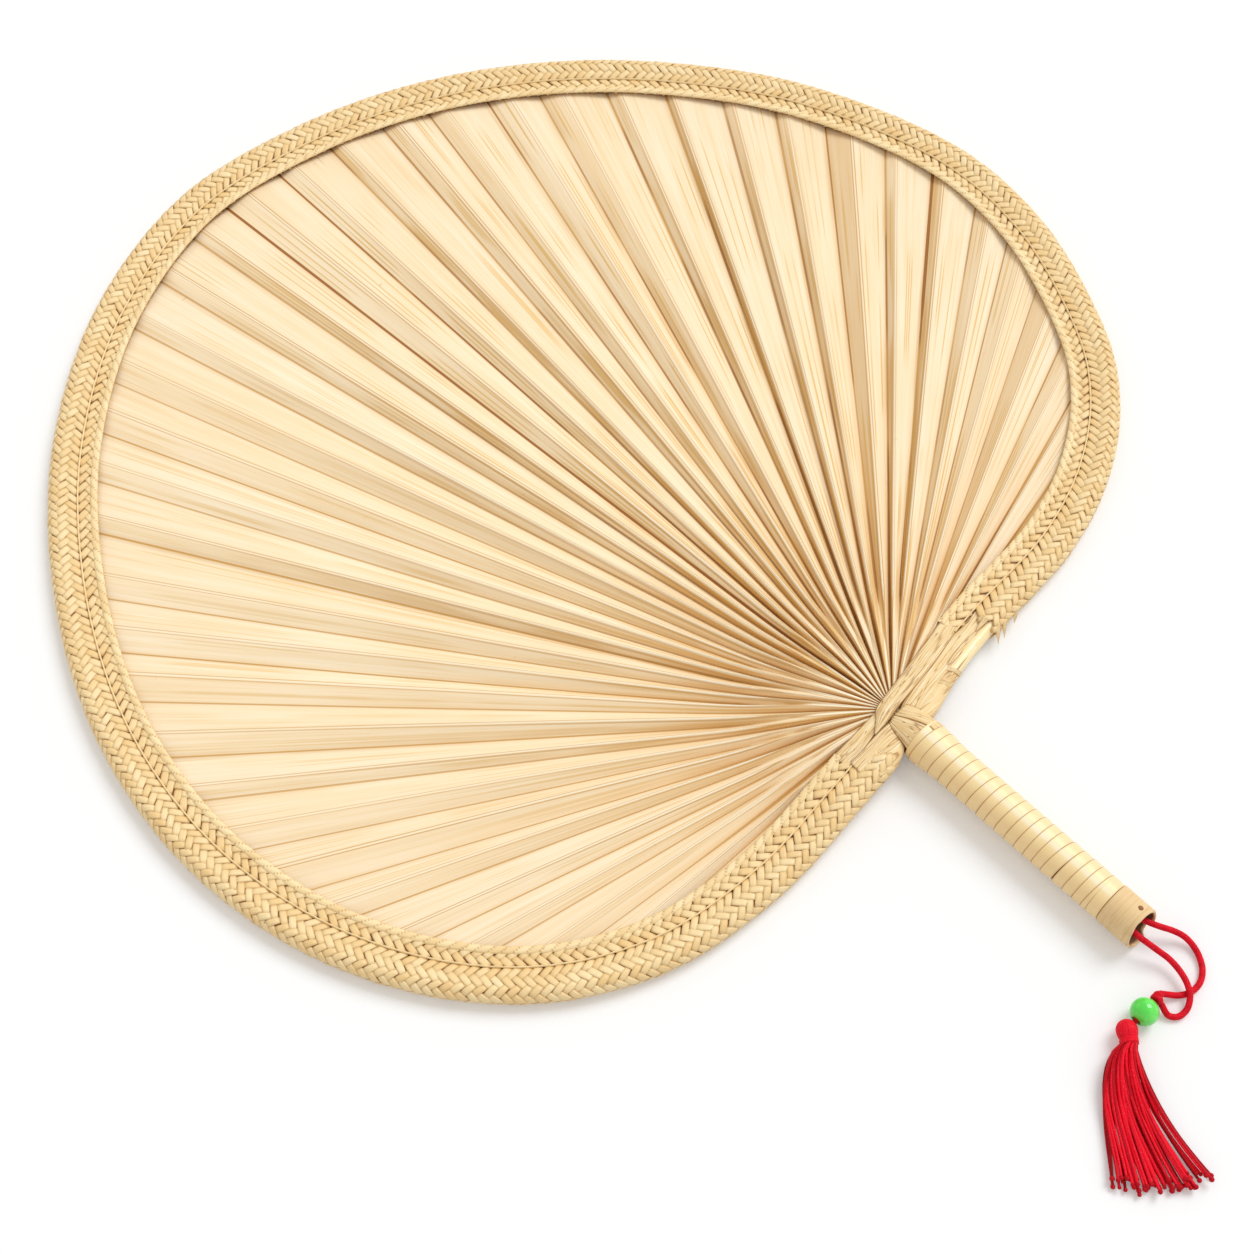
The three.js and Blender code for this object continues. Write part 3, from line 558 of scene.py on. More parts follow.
def grow(name, material, sizes, build, host):
    # runs a shape tree, with its sizes as named inputs, and gives the plain mesh
    group = bpy.data.node_groups.new(name, "GeometryNodeTree")
    sockets = group.interface
    sockets.new_socket("Geometry", in_out="OUTPUT", socket_type="NodeSocketGeometry")
    sockets.new_socket("Geometry", in_out="INPUT", socket_type="NodeSocketGeometry")
    kinds = {int: "NodeSocketInt", float: "NodeSocketFloat", bpy.types.Material: "NodeSocketMaterial"}
    values = {**sizes, "material": material}
    ids = {}
    for label, value in values.items():
        ids[label] = sockets.new_socket(label, in_out="INPUT", socket_type=kinds[type(value)]).identifier
    t = Nodes(group)
    source = t.node("NodeGroupInput")
    given = {label: source.other(label) for label in ["Geometry", *values]}
    shape = build(t, given)
    shape = t.node("GeometryNodeTransform", None,
                   {"Geometry": shape, "Translation": tuple(headSpot), "Scale": (mm, mm, mm)})
    shape = t.node("GeometryNodeSetShadeSmooth", None, {"Geometry": shape})
    shape = t.realize(shape)
    shape = t.node("GeometryNodeSetMaterial", None, {"Geometry": shape, "Material": given["material"]})
    t.node("NodeGroupOutput", None, {"Geometry": shape})
    holder = bpy.data.objects.new(name + "Holder", host)
    scene.collection.objects.link(holder)
    modifier = holder.modifiers.new("grow", "NODES")
    modifier.node_group = group
    for label, value in values.items():
        modifier[ids[label]] = value
    bpy.context.view_layer.update()
    mesh = bpy.data.meshes.new_from_object(holder.evaluated_get(bpy.context.evaluated_depsgraph_get()))
    mesh.name = name
    bpy.data.objects.remove(holder)
    print(name, len(mesh.polygons), "faces")
    return mesh


# Camera at the photograph's viewing angle
view = {
    "eye": (-0.305087, -0.329938, 0.68730), "right": (0.7248, -0.68874, -0.01754),
    "up": (0.60388, 0.62282, 0.49742), "lens": 59.483, "sensor": 36.0,
}
cameraData = bpy.data.cameras.new("camera")
cameraData.lens = view["lens"]
cameraData.sensor_width = view["sensor"]
cameraData.clip_start = 0.01
camera = bpy.data.objects.new("camera", cameraData)
scene.collection.objects.link(camera)
right = Vector(view["right"]).normalized()
up = Vector(view["up"])
up = (up - right * up.dot(right)).normalized()
turnedTo = Matrix((right, up, right.cross(up))).transposed().to_4x4()
camera.matrix_world = Matrix.Translation(view["eye"]) @ turnedTo
scene.camera = camera
print("camera placed")

# Cord loop: the two legs run from the bight in the tube's mouth to the knot
cordSizes = {
    "radius": 1.15, "sides": 32, "step": 0.3, "plaitPitch": 2.3, "strands": 4, "relief": 0.09,
    "bightRadius": 2.55, "bightSteps": 24, "pegInset": 4.6, "pegTilt": math.radians(18),
}
legRoutes = {
    "cordLegA": ("cord_leg_a", [
        (2.4, 4.3, 8.2), (3.6, 1.8, 8.3), (4.7, -0.6, 7.7), (6.6, -3.6, 6.6), (9.1, -7.1, 5.1),
        (11, -11, 3.4), (11.2, -15, 2.1), (9.7, -19.4, 1.4), (6.6, -23.2, 1.25), (2.2, -25.4, 1.25),
        (-2.6, -25.2, 1.25), (-6.4, -23.1, 1.4), (-9.2, -20.6, 2.6), (-11.65, -18.6, 4.25)]),
    "cordLegB": ("cord_leg_b", [
        (-2.4, 4.3, 9.75), (-2.9, 1.8, 9.4), (-2.8, -1, 9), (-2, -4.4, 7.9), (-0.8, -8.4, 6.1),
        (0.2, -13, 4.7), (-0.3, -18, 4.1), (-2, -22.6, 3.95), (-4.6, -26.2, 3.2), (-8.4, -28.3, 2),
        (-12.4, -27.9, 1.4), (-14.6, -25.3, 1.6), (-14.15, -21.2, 3.85)]),
}


def fromMouth(point):
    return Vector((point[0], point[1] - tube["length"], point[2]))


def cordRadius(radius):
    # fine plaited relief: two sets of strands cross round the cord
    def at(length, angle):
        lay = 2 * math.pi * length / cordSizes["plaitPitch"]
        n = cordSizes["strands"]
        crest = abs(math.sin(n * angle + lay) * math.sin(n * angle - lay))
        # the grooves between strands are painted in shade as deep as they are cut
        groove = (1 - crest) ** 3
        return radius - cordSizes["relief"] * groove, groove
    return at


def cordMesh(name, line, radius):
    points, grooves = tubeAlong(line, cordSizes["sides"], cordRadius(radius))
    return closedMesh(name, points, cordSizes["sides"], threadFinish, {"groove": grooves})


for legName, (legNode, route) in legRoutes.items():
    line = smoothPath([fromMouth(p) for p in route], cordSizes["step"])
    leg = addPiece(cordMesh(legName, line, cordSizes["radius"]), "fan", "red_thread", legNode)
    legLength = sum((b - a).length for a, b in zip(line, line[1:]))

bightLine = []
for i in range(cordSizes["bightSteps"] + 1):
    turn = math.pi * i / cordSizes["bightSteps"]
    swing = cordSizes["bightRadius"] * math.cos(turn)
    reach = cordSizes["pegInset"] + cordSizes["bightRadius"] * math.sin(turn)
    bightLine.append(fromMouth((swing * math.cos(cordSizes["pegTilt"]), reach,
                                tube["axisZ"] - swing * math.sin(cordSizes["pegTilt"]))))
addPiece(cordMesh("cordBight", bightLine, cordSizes["radius"]), "fan", "red_thread", "cord_bight")
print("cords laid")

# Knot, hanger, bead
knot = {
    "x": -13.9, "drop": 19.1, "z": 5.1, "strand": 1.0, "coil": 1.25, "half": 0.95, "turns": 2.3, "sway": 0.25,
    "points": 30,
    "fromLegB": [(-14.2, -21.9, 3.5), (-14.15, -21.2, 3.85), (-14.35, -20.1, 4.2), (-14.7, -18.6, 4.2)],
    "toLegA": [(-13.1, -18.8, 5.6), (-12.9, -18, 5.1), (-12.3, -18.1, 4.7), (-11.65, -18.6, 4.25),
               (-11.2, -18.97, 3.95)],
}
coilPoints = []
for i in range(knot["points"]):
    share = i / (knot["points"] - 1)
    turn = 2 * math.pi * knot["turns"] * share
    coilPoints.append((knot["x"] + knot["half"] * (2 * share - 1) + knot["sway"] * math.sin(turn / 2),
                       -knot["drop"] + knot["coil"] * math.cos(turn),
                       knot["z"] + knot["coil"] * math.sin(turn)))
# the knot's strand comes out of leg B, winds round and goes into leg A
knotPoints = knot["fromLegB"] + coilPoints + knot["toLegA"]
knotLine = smoothPath([fromMouth(p) for p in knotPoints], cordSizes["step"])
addPiece(cordMesh("loopKnot", knotLine, knot["strand"]), "fan", "red_thread", "loop_knot")

hanger = {"radius": 0.98, "start": -15.8, "end": -26.2, "steps": 30}
hangerStart, hangerEnd = (fromMouth((hanger[end], -knot["drop"], knot["z"])) for end in ("start", "end"))
hangerLine = [hangerStart.lerp(hangerEnd, i / hanger["steps"]) for i in range(hanger["steps"] + 1)]
addPiece(cordMesh("hangerCord", hangerLine, hanger["radius"]), "fan", "red_thread", "hanger_cord")

bead = {
    "x": -20.9, "radius": 5.0, "bore": 1.55, "lip": 0.35, "lipInset": 0.12, "lipRise": 0.1, "boreInset": 0.4,
    "around": 64, "arc": 26,
}
beadProfile = []
reachHalf = math.acos((bead["bore"] + bead["lip"]) / bead["radius"])
for i in range(bead["arc"] + 1):
    angle = reachHalf * (1 - 2 * i / bead["arc"])
    beadProfile.append((bead["radius"] * math.sin(angle), bead["radius"] * math.cos(angle)))
endX = bead["radius"] * math.sin(reachHalf)
boreEnd = [(endX - bead["boreInset"], bead["bore"])]
boreEnd.append((endX - bead["lipInset"], bead["bore"] + bead["lipRise"]))
beadProfile += [(-along, radius) for along, radius in reversed(boreEnd)] + boreEnd


def onBead(along, radius, angle):
    across = -knot["drop"] + radius * math.cos(angle)
    return fromMouth((bead["x"] + along, across, knot["z"] + radius * math.sin(angle)))


beadPoints = turnedPoints(beadProfile, bead["around"], onBead)
beadMesh = closedMesh("greenBead", beadPoints, bead["around"], beadFinish, joined=True)
addPiece(beadMesh, "bead", "green_bead", "bead")
print("knot and bead made")

# Tassel: lies along its heading, with the head's centre as its own origin
tassel = {
    "x": -30.25, "heading": math.radians(230.6), "headRadius": 3.8, "neckRadius": 2.85, "neckReach": 5.2,
    "rings": 22, "sides": 78, "ballShare": 0.8, "poleTurn": 0.12, "pear": 1.35, "lobes": 26,
    "lobeDepth": 0.22, "fullLobeRadius": 2.5, "grooveTone": 0.75,
}
alongTassel = Vector((math.cos(tassel["heading"]), math.sin(tassel["heading"]), 0))
acrossTassel = Vector((-alongTassel.y, alongTassel.x, 0))
tasselSpot = fromMouth((tassel["x"], -knot["drop"], knot["z"]))


def onTassel(along, across, rise):
    return tasselSpot + alongTassel * along + acrossTassel * across + Vector((0, 0, rise))


headPoints, headGrooves = [], []
waist = math.asin(tassel["neckRadius"] / tassel["headRadius"])
ball = tassel["ballShare"]
for i in range(tassel["rings"]):
    share = i / (tassel["rings"] - 1)
    if share < ball:
        turn = tassel["poleTurn"] + (math.pi - waist - tassel["poleTurn"]) * share / ball
        along = -tassel["headRadius"] * math.cos(turn) * (tassel["pear"] if turn > math.pi / 2 else 1)
        radius = tassel["headRadius"] * math.sin(turn)
    else:
        start = tassel["headRadius"] * math.cos(waist) * tassel["pear"]
        along = start + (tassel["neckReach"] - start) * (share - ball) / (1 - ball)
        radius = tassel["neckRadius"]
    for j in range(tassel["sides"]):
        angle = 2 * math.pi * j / tassel["sides"]
        sway = 0.5 * math.sin(3 * angle + share * 2)
        # the grooves between the lobes are painted in shade
        groove = 1 - abs(math.sin(tassel["lobes"] / 2 * angle + sway)) ** 0.6
        out = radius - tassel["lobeDepth"] * groove * min(1, radius / tassel["fullLobeRadius"])
        headPoints.append(onTassel(along, out * math.cos(angle), out * math.sin(angle)))
        headGrooves.append(groove * tassel["grooveTone"])
headMesh = closedMesh("tasselHead", headPoints, tassel["sides"], threadFinish, {"groove": headGrooves})
addPiece(headMesh, "tassel", "red_thread", "tassel_head")

neckBand = {
    "turns": 3, "thread": 0.33, "start": 3.3, "end": 4.9, "radius": 3.0, "steps": 99, "sides": 10,
    "tone": 0.15,
}
bandLine = []
for i in range(neckBand["steps"] + 1):
    share = i / neckBand["steps"]
    turn = 2 * math.pi * neckBand["turns"] * share
    along = neckBand["start"] + (neckBand["end"] - neckBand["start"]) * share
    bandLine.append(onTassel(along, neckBand["radius"] * math.cos(turn), neckBand["radius"] * math.sin(turn)))
bandPoints, bandGrooves = tubeAlong(
    bandLine, neckBand["sides"], lambda length, angle: (neckBand["thread"], neckBand["tone"]))
bandMesh = closedMesh("tasselNeckBand", bandPoints, neckBand["sides"], threadFinish, {"groove": bandGrooves})
addPiece(bandMesh, "tassel", "red_thread", "tassel_neck_band")

skirt = {
    "strands": 84, "points": 18, "thread": 0.52, "start": 4.4, "reach": 55.0, "leftAngle": -0.285,
    "rightAngle": 0.365, "bulge": 7.6, "startRadius": 2.6, "blob": 0.95, "floor": 0.95, "pile": 2.6,
    "wave": 0.5,
}


def skirtShape(t, given):
    def spot(number, share):
        # where a strand is, at a share of its length
        ringAngle = t.chance(0.0, 6.283, 1, number)
        ringRadius = given["startRadius"] * t.chance(0.0, 1.0, 2, number) ** 0.5
        startAcross = ringRadius * t.maths("COSINE", ringAngle)
        startRise = ringRadius * t.maths("SINE", ringAngle)
        side = (startAcross / given["startRadius"]) * 0.38 + 0.5 + t.chance(-0.2, 0.2, 3, number)
        fan = t.blend(side.clamp(0.0, 1.0), given["leftAngle"], given["rightAngle"])
        reach = given["reach"] * t.chance(0.9, 1.0, 4, number) * (1 - fan * fan * 0.4)
        along = given["start"] + (reach - given["start"]) * share
        bow = t.maths("SINE", t.maths("POWER", share, 0.62) * math.pi)
        wave = t.maths("SINE", share * t.chance(2.0, 5.0, 7, number) + t.chance(0.0, 6.0, 8, number))
        wave = wave * share * given["wave"]
        flare = fan * share ** 1.15 * reach * (0.55 + share * 0.45)
        across = startAcross * (1 - share * 0.4) + flare - given["bulge"] * bow * (1 - side * 0.85) + wave
        low = given["floor"] + t.chance(0.0, given["pile"], 9, number) - knot["z"]
        rise = t.blend(share.smooth(0.0, 0.75), startRise, low)
        x = tasselSpot.x + along * alongTassel.x + across * acrossTassel.x
        y = tasselSpot.y + along * alongTassel.y + across * acrossTassel.y
        return t.vector(x, y, tasselSpot.z + rise)

    index = t.node("GeometryNodeInputIndex")
    lattice = t.node("GeometryNodePoints", None, {"Count": given["strands"]})
    straight = t.node("GeometryNodeCurvePrimitiveLine", None, {"End": (1.0, 0.0, 0.0)})
    straight = t.node("GeometryNodeResampleCurve", None, {"Curve": straight, "Count": given["points"]})
    strands = t.node("GeometryNodeInstanceOnPoints", None, {"Points": lattice, "Instance": straight})
    strands = t.store(strands, "number", index, "INT", "INSTANCE")
    strands = t.realize(strands)
    number = t.node("GeometryNodeInputNamedAttribute", {"data_type": "INT"}, {"Name": "number"})
    share = t.node("GeometryNodeSplineParameter")
    strands = t.move(strands, spot(number, share))
    profile = t.node("GeometryNodeCurvePrimitiveCircle", None, {"Resolution": 7, "Radius": given["thread"]})
    threads = t.sweep(strands, profile)
    ball = t.node("GeometryNodeMeshUVSphere", None, {"Segments": 8, "Rings": 6, "Radius": given["blob"]})
    tips = t.node("GeometryNodePoints", None, {"Count": given["strands"]})
    wholeLength = t.maths("ADD", 1.0, 0.0)  # a tip is at the whole of its strand
    tips = t.move(tips, spot(index, wholeLength))
    size = t.chance(0.75, 1.1, 12)
    balls = t.node("GeometryNodeInstanceOnPoints", None, {"Points": tips, "Instance": ball, "Scale": size})
    balls = t.realize(balls)
    both = t.join(threads, balls)
    # each strand gets a random amount of painted shade, so that some lie dark like the gaps between bundles
    return t.store(both, "groove", t.chance(0.0, 1.0, 13, number) ** 1.8)


emptyHost = bpy.data.meshes.new("emptyHost")
skirtMesh = grow("tasselSkirt", threadFinish, skirt, skirtShape, emptyHost)
addPiece(skirtMesh, "tassel", "red_thread", "tassel_skirt")
print("tassel made")

# Blade outline as a rail: lengths count from the head round by the left
blade = {
    "halfWidth": 225.4, "length": 403.0, "rimMid": 4.298, "headY": 10.0, "liftReach": 75.0, "perSpan": 40,
    "probe": 0.5, "floorGap": 0.03,
    "outline": [
        (0, 0.003), (-0.156, -0.006), (-0.359, -0.013), (-0.561, 0.004), (-0.74, 0.059), (-0.878, 0.148),
        (-0.968, 0.263), (-0.999, 0.398), (-0.96, 0.544), (-0.849, 0.69), (-0.676, 0.826), (-0.438, 0.936),
        (-0.159, 0.996), (0.118, 0.988), (0.367, 0.943), (0.582, 0.868), (0.765, 0.766), (0.914, 0.636),
        (1.001, 0.472), (0.981, 0.333), (0.876, 0.2), (0.764, 0.123), (0.615, 0.069), (0.449, 0.04),
        (0.26, 0.031), (0.115, 0.018),
    ],
}
corners = np.array(blade["outline"]) * (blade["halfWidth"], blade["length"])
shares = np.linspace(0, 1, blade["perSpan"], endpoint=False)[:, None]
spans = []
for i in range(len(corners)):
    spans.append(between([corners[(i + k) % len(corners)] for k in (-1, 0, 1, 2)], shares))
railPoints = np.vstack([*spans, corners[:1]])
railLengths = np.concatenate([[0], np.cumsum(np.linalg.norm(np.diff(railPoints, axis=0), axis=1))])
rimLength = float(railLengths[-1])
railMesh = bpy.data.meshes.new("rail")
railEdges = [(i, i + 1) for i in range(len(railPoints) - 1)]
railMesh.from_pydata([(x, y, 0) for x, y in railPoints], railEdges, [])


def bladeZ(x, y):
    share = min(math.hypot(x, y - blade["headY"]) / blade["liftReach"], 1)
    return tube["axisZ"] + (blade["rimMid"] - tube["axisZ"]) * share * share * (3 - 2 * share)


def railSpot(length, inset, height):
    # a point inside the outline, at a height above the blade's middle
    def at(run):
        return np.array([np.interp(run % rimLength, railLengths, railPoints[:, k]) for k in (0, 1)])

    x, y = at(length)
    along = Vector(at(length + blade["probe"]) - at(length - blade["probe"])).normalized()
    x += along.y * inset
    y -= along.x * inset
    return Vector((x, y, bladeZ(x, y) + height))


def liftAt(t, x, y):
    fromHead = y - blade["headY"]
    away = t.maths("SQRT", x * x + fromHead * fromHead)
    return tube["axisZ"] + (blade["rimMid"] - tube["axisZ"]) * away.smooth(0.0, blade["liftReach"])


def fromRail(t, given, along, inset):
    # the same point in a shape tree, with the outline's direction there
    rail = t.node("GeometryNodeMeshToCurve", None, {"Mesh": given["Geometry"]})
    spot = t.node("GeometryNodeSampleCurve", {"mode": "LENGTH"}, {"Curves": rail, "Length": along},
                  "Position")
    x, y = t.parts(spot)[:2]
    alongX, alongY = t.parts(spot.other("Tangent"))[:2]
    return x + alongY * inset, y - alongX * inset, alongX, alongY


def onRim(t, given, along, inset, height):
    x, y = fromRail(t, given, along, inset)[:2]
    return t.vector(x, y, (liftAt(t, x, y) + height).math("MAXIMUM", blade["floorGap"]))


# Plaits: rows of slanted tiles on an underlay painted in deep shade, drawn flat and then laid on the rim


def plaitTile(t, given):
    cube = t.cube((1, 1, 1), 4, 4, 2)
    x, y, z = t.spot()
    cube = t.store(cube, "grain", t.vector(x, y, 0.0), "FLOAT_VECTOR")
    ends = (x * x * 4) ** 2
    sides = (y * y * 4) ** 2
    rise = given["thickness"] * (z - 0.5) - given["endDip"] * ends - given["edgeDrop"] * sides * (z + 0.5)
    return t.move(cube, t.vector(x * given["tileLength"], y * given["tileWidth"] * (1 - ends * 0.1), rise))


# the underlay has no tint, so its finish paints it in deep pit shade, seen between the tiles
underlay = {"thickness": 0.4, "depth": 0.75, "columns": 420}


def plaitFlat(t, given):
    columns, rows = given["columns"], given["rows"]
    lattice = t.node("GeometryNodeMeshGrid", None, {
        "Size X": columns - 1, "Size Y": rows - 1, "Vertices X": columns, "Vertices Y": rows})
    x, y = t.spot()[:2]
    column = x + (columns - 1) * 0.5
    row = t.maths("ROUND", y + (rows - 1) * 0.5)
    odd = row % 2.0
    along = given["start"] + (column + 0.25 + odd * 0.5 + t.chance(-0.06, 0.06, 4)) * given["pitch"]
    lattice = t.store(lattice, "turn", given["slant"] * (1 - 2 * odd) + t.chance(-0.09, 0.09, 5))
    # each tile's random tone, with the rows of one slant painted lighter as a painted sheen
    lattice = t.store(lattice, "tint", t.chance(0.1, 0.8, 10) + odd * 0.2)
    turn = t.node("GeometryNodeInputNamedAttribute", {"data_type": "FLOAT"}, {"Name": "turn"})
    lattice = t.move(lattice, t.vector(along, (row + 0.5) * given["rowWidth"], t.chance(-0.12, 0.06, 6)))
    rotation = t.node("FunctionNodeEulerToRotation", None, {"Euler": t.vector(0.0, 0.0, turn)})
    scale = t.vector(t.chance(0.95, 1.06, 7), t.chance(0.9, 1.02, 8), t.chance(0.85, 1.1, 9))
    tiles = t.node("GeometryNodeInstanceOnPoints", None, {
        "Points": lattice, "Instance": plaitTile(t, given), "Rotation": rotation, "Scale": scale})
    tiles = t.realize(tiles)
    span = columns * given["pitch"]
    width = rows * given["rowWidth"]
    under = t.cube(t.vector(span - given["pitch"] * 1.5, width, underlay["thickness"]), underlay["columns"],
                   given["underRows"], 2)
    middle = t.vector(given["start"] + span * 0.5, width * 0.5, -underlay["depth"])
    under = t.node("GeometryNodeTransform", None, {"Geometry": under, "Translation": middle})
    return t.join(tiles, under)


def plaitSizes(plait, pitch, start, end):
    # whole columns of tiles between the plait's two ends
    run = rimLength - start - end
    columns = round(run / pitch)
    return {**plait, "start": start, "columns": columns, "pitch": run / (columns + 0.5)}


# the rim's section: a straight line from each lip to an arc round the hoop
rimSection = {
    "lipInset": 12.3, "lipHeight": 2.8, "radius": 4.45, "flat": math.radians(15), "sunk": 0.12,
    "leftEnd": 15.0, "rightEnd": 54.0, "pitch": 4.0,
}
lineRun = rimSection["lipInset"] - rimSection["radius"] * (1 + math.sin(rimSection["flat"]))
lineDrop = rimSection["radius"] * math.cos(rimSection["flat"]) - rimSection["lipHeight"]
lineLength = math.hypot(lineRun, lineDrop)
arcTurn = math.pi + 2 * rimSection["flat"]
arcLength = rimSection["radius"] * arcTurn
rimPlait = {
    "rows": 8, "slant": math.radians(45), "tileLength": 6.6, "tileWidth": 2.84, "thickness": 0.75,
    "endDip": 0.26, "edgeDrop": 0.09, "underRows": 26,
}
rimPlait["rowWidth"] = (2 * lineLength + arcLength) / rimPlait["rows"]


def rimPlaitShape(t, given):
    flat = plaitFlat(t, given)
    along, width, rise = t.spot()
    front = (lineLength - width).math("MAXIMUM", 0.0)
    back = (width - (lineLength + arcLength)).math("MAXIMUM", 0.0)
    share = ((width - lineLength) / arcLength).clamp(0.0, 1.0)
    turn = math.pi / 2 - rimSection["flat"] + share * arcTurn
    radius = rimSection["radius"] + rise - rimSection["sunk"]
    inset = rimSection["radius"] + radius * t.maths("COSINE", turn) + (front + back) * (lineRun / lineLength)
    height = radius * t.maths("SINE", turn) + (back - front) * (lineDrop / lineLength)
    return t.move(flat, onRim(t, given, along, inset, height))


rimSizes = plaitSizes(rimPlait, rimSection["pitch"], rimSection["leftEnd"], rimSection["rightEnd"])
rimMesh = grow("rimPlait", plaitFinish, rimSizes, rimPlaitShape, railMesh)
addPiece(rimMesh, "fan", "straw", "rim_braid")

edgePlait = {
    "rows": 2, "rowWidth": 3.3, "slant": math.radians(38), "tileLength": 6.2, "tileWidth": 2.85,
    "thickness": 0.6, "endDip": 0.22, "edgeDrop": 0.07, "underRows": 8, "inset": 12.7, "height": 2.62,
}
edgePitch = 4.7
edgeCords = {
    "thickness": 0.8, "columns": 2400, "rows": 5, "turnPitch": 5.2, "turnSlant": 1.3, "crown": 2.6,
    "slitDepth": 0.4, "foldLap": 0.4, "seamInset": -0.1,
    "fold": {"width": 3.0, "rise": 0.12, "tint": 0.85, "notch": 1.0},
    "seam": {"width": 0.7, "rise": 0.3, "tint": 1.0, "notch": 0.5},
}
edgeEnds = {
    "edgePlaitFront": ("edge_braid_front", 1, 26.0, 43.0),
    "edgePlaitBack": ("edge_braid_back", -1, 0.5, 0.5),
}


def edgeCord(t, given, inset, cord):
    # a thin folded edge that runs along the plait, notched where the strands turn over
    span = given["columns"] * given["pitch"]
    width, half = cord["width"], edgeCords["thickness"] / 2
    strip = t.cube(t.vector(span, width, edgeCords["thickness"]), edgeCords["columns"], edgeCords["rows"], 2)
    x, y, z = t.spot()
    turns = (x + y * edgeCords["turnSlant"]) / edgeCords["turnPitch"]
    slit = (1 - turns.math("FRACT").smooth(0.05, 0.28)) * cord["notch"]
    # the slit goes into the grain, where the finish paints the notch in shade
    strip = t.store(strip, "grain", t.vector(slit, y / width * 0.7, 0.0), "FLOAT_VECTOR")
    tint = cord["tint"] + t.chance(-0.4, 0.3, 14, t.maths("FLOOR", turns)) * cord["notch"]
    strip = t.store(strip, "tint", tint)
    crown = (z + half) * (1 - (y * y) * (edgeCords["crown"] / (width * width))) - half
    wave = t.noise((x * 0.25, 3.0, inset)) - 0.5
    rise = crown + cord["rise"] + wave * 0.2 - slit * edgeCords["slitDepth"]
    return t.move(strip, t.vector(x + given["start"] + span * 0.5, y + inset + wave * 0.3, rise))


def edgePlaitShape(side):
    def build(t, given):
        fold = edgeCord(t, given, given["rowWidth"] * 2 - edgeCords["foldLap"], edgeCords["fold"])
        seam = edgeCord(t, given, edgeCords["seamInset"], edgeCords["seam"])
        flat = t.join(plaitFlat(t, given), fold, seam)
        along, width, rise = t.spot()
        height = (given["height"] + rise) * side
        laid = t.move(flat, onRim(t, given, along, given["inset"] + width, height))
        return t.flip(laid) if side > 0 else laid
    return build


for name, (node, side, endLeft, endRight) in edgeEnds.items():
    sizes = plaitSizes(edgePlait, edgePitch, endLeft, endRight)
    edgeMesh = grow(name, plaitFinish, sizes, edgePlaitShape(side), railMesh)
    addPiece(edgeMesh, "fan", "straw", node)
print("plaits laid")

# Leaf: folds fan out from the hub to the rim, uneven in width, height and lean
leaf = {
    "strips": 98, "perStrip": 6, "rings": 34, "start": 13.0, "hubX": 0.8, "hubY": 16.5, "hubRadius": 3.5,
    "rimInset": 8.85, "stray": 0.26, "uneven": 0.35, "fold": 1.6, "pressed": 0.6, "foldRise": 30.0,
    "lean": 0.4, "leanLeast": 0.25, "leanStart": 0.18, "leanFull": 0.55, "bandRun": 11.75, "bandLeast": 0.8,
    "rampShare": 0.4, "sheet": 0.75, "mergeEnd": 22.0, "mergeStart": 60.0, "mergeRise": 1.8, "ringEase": 1.45,
    "facingLeast": 0.1,
}
leafScatter = {"rate": 12.9898, "gain": 43.7585}
leafSplits = {"half": 0.9, "splitSpot": (-17, 382.6), "tearSpot": (165, 142.8), "tearStart": 196.0}


def valleyNear(spot):
    # the valley line whose ray from the hub passes nearest to a spot
    def miss(line):
        length = leaf["start"] + (rimLength - 2 * leaf["start"]) * line / leaf["strips"]
        rim = railSpot(length, leaf["rimInset"], 0)
        ray = Vector((rim.x - leaf["hubX"], rim.y - leaf["hubY"])).normalized()
        to = Vector((spot[0] - leaf["hubX"], spot[1] - leaf["hubY"])).normalized()
        return -ray.dot(to)
    return min(range(0, leaf["strips"], 2), key=miss)


splitLine = valleyNear(leafSplits["splitSpot"])
tearLine = valleyNear(leafSplits["tearSpot"])


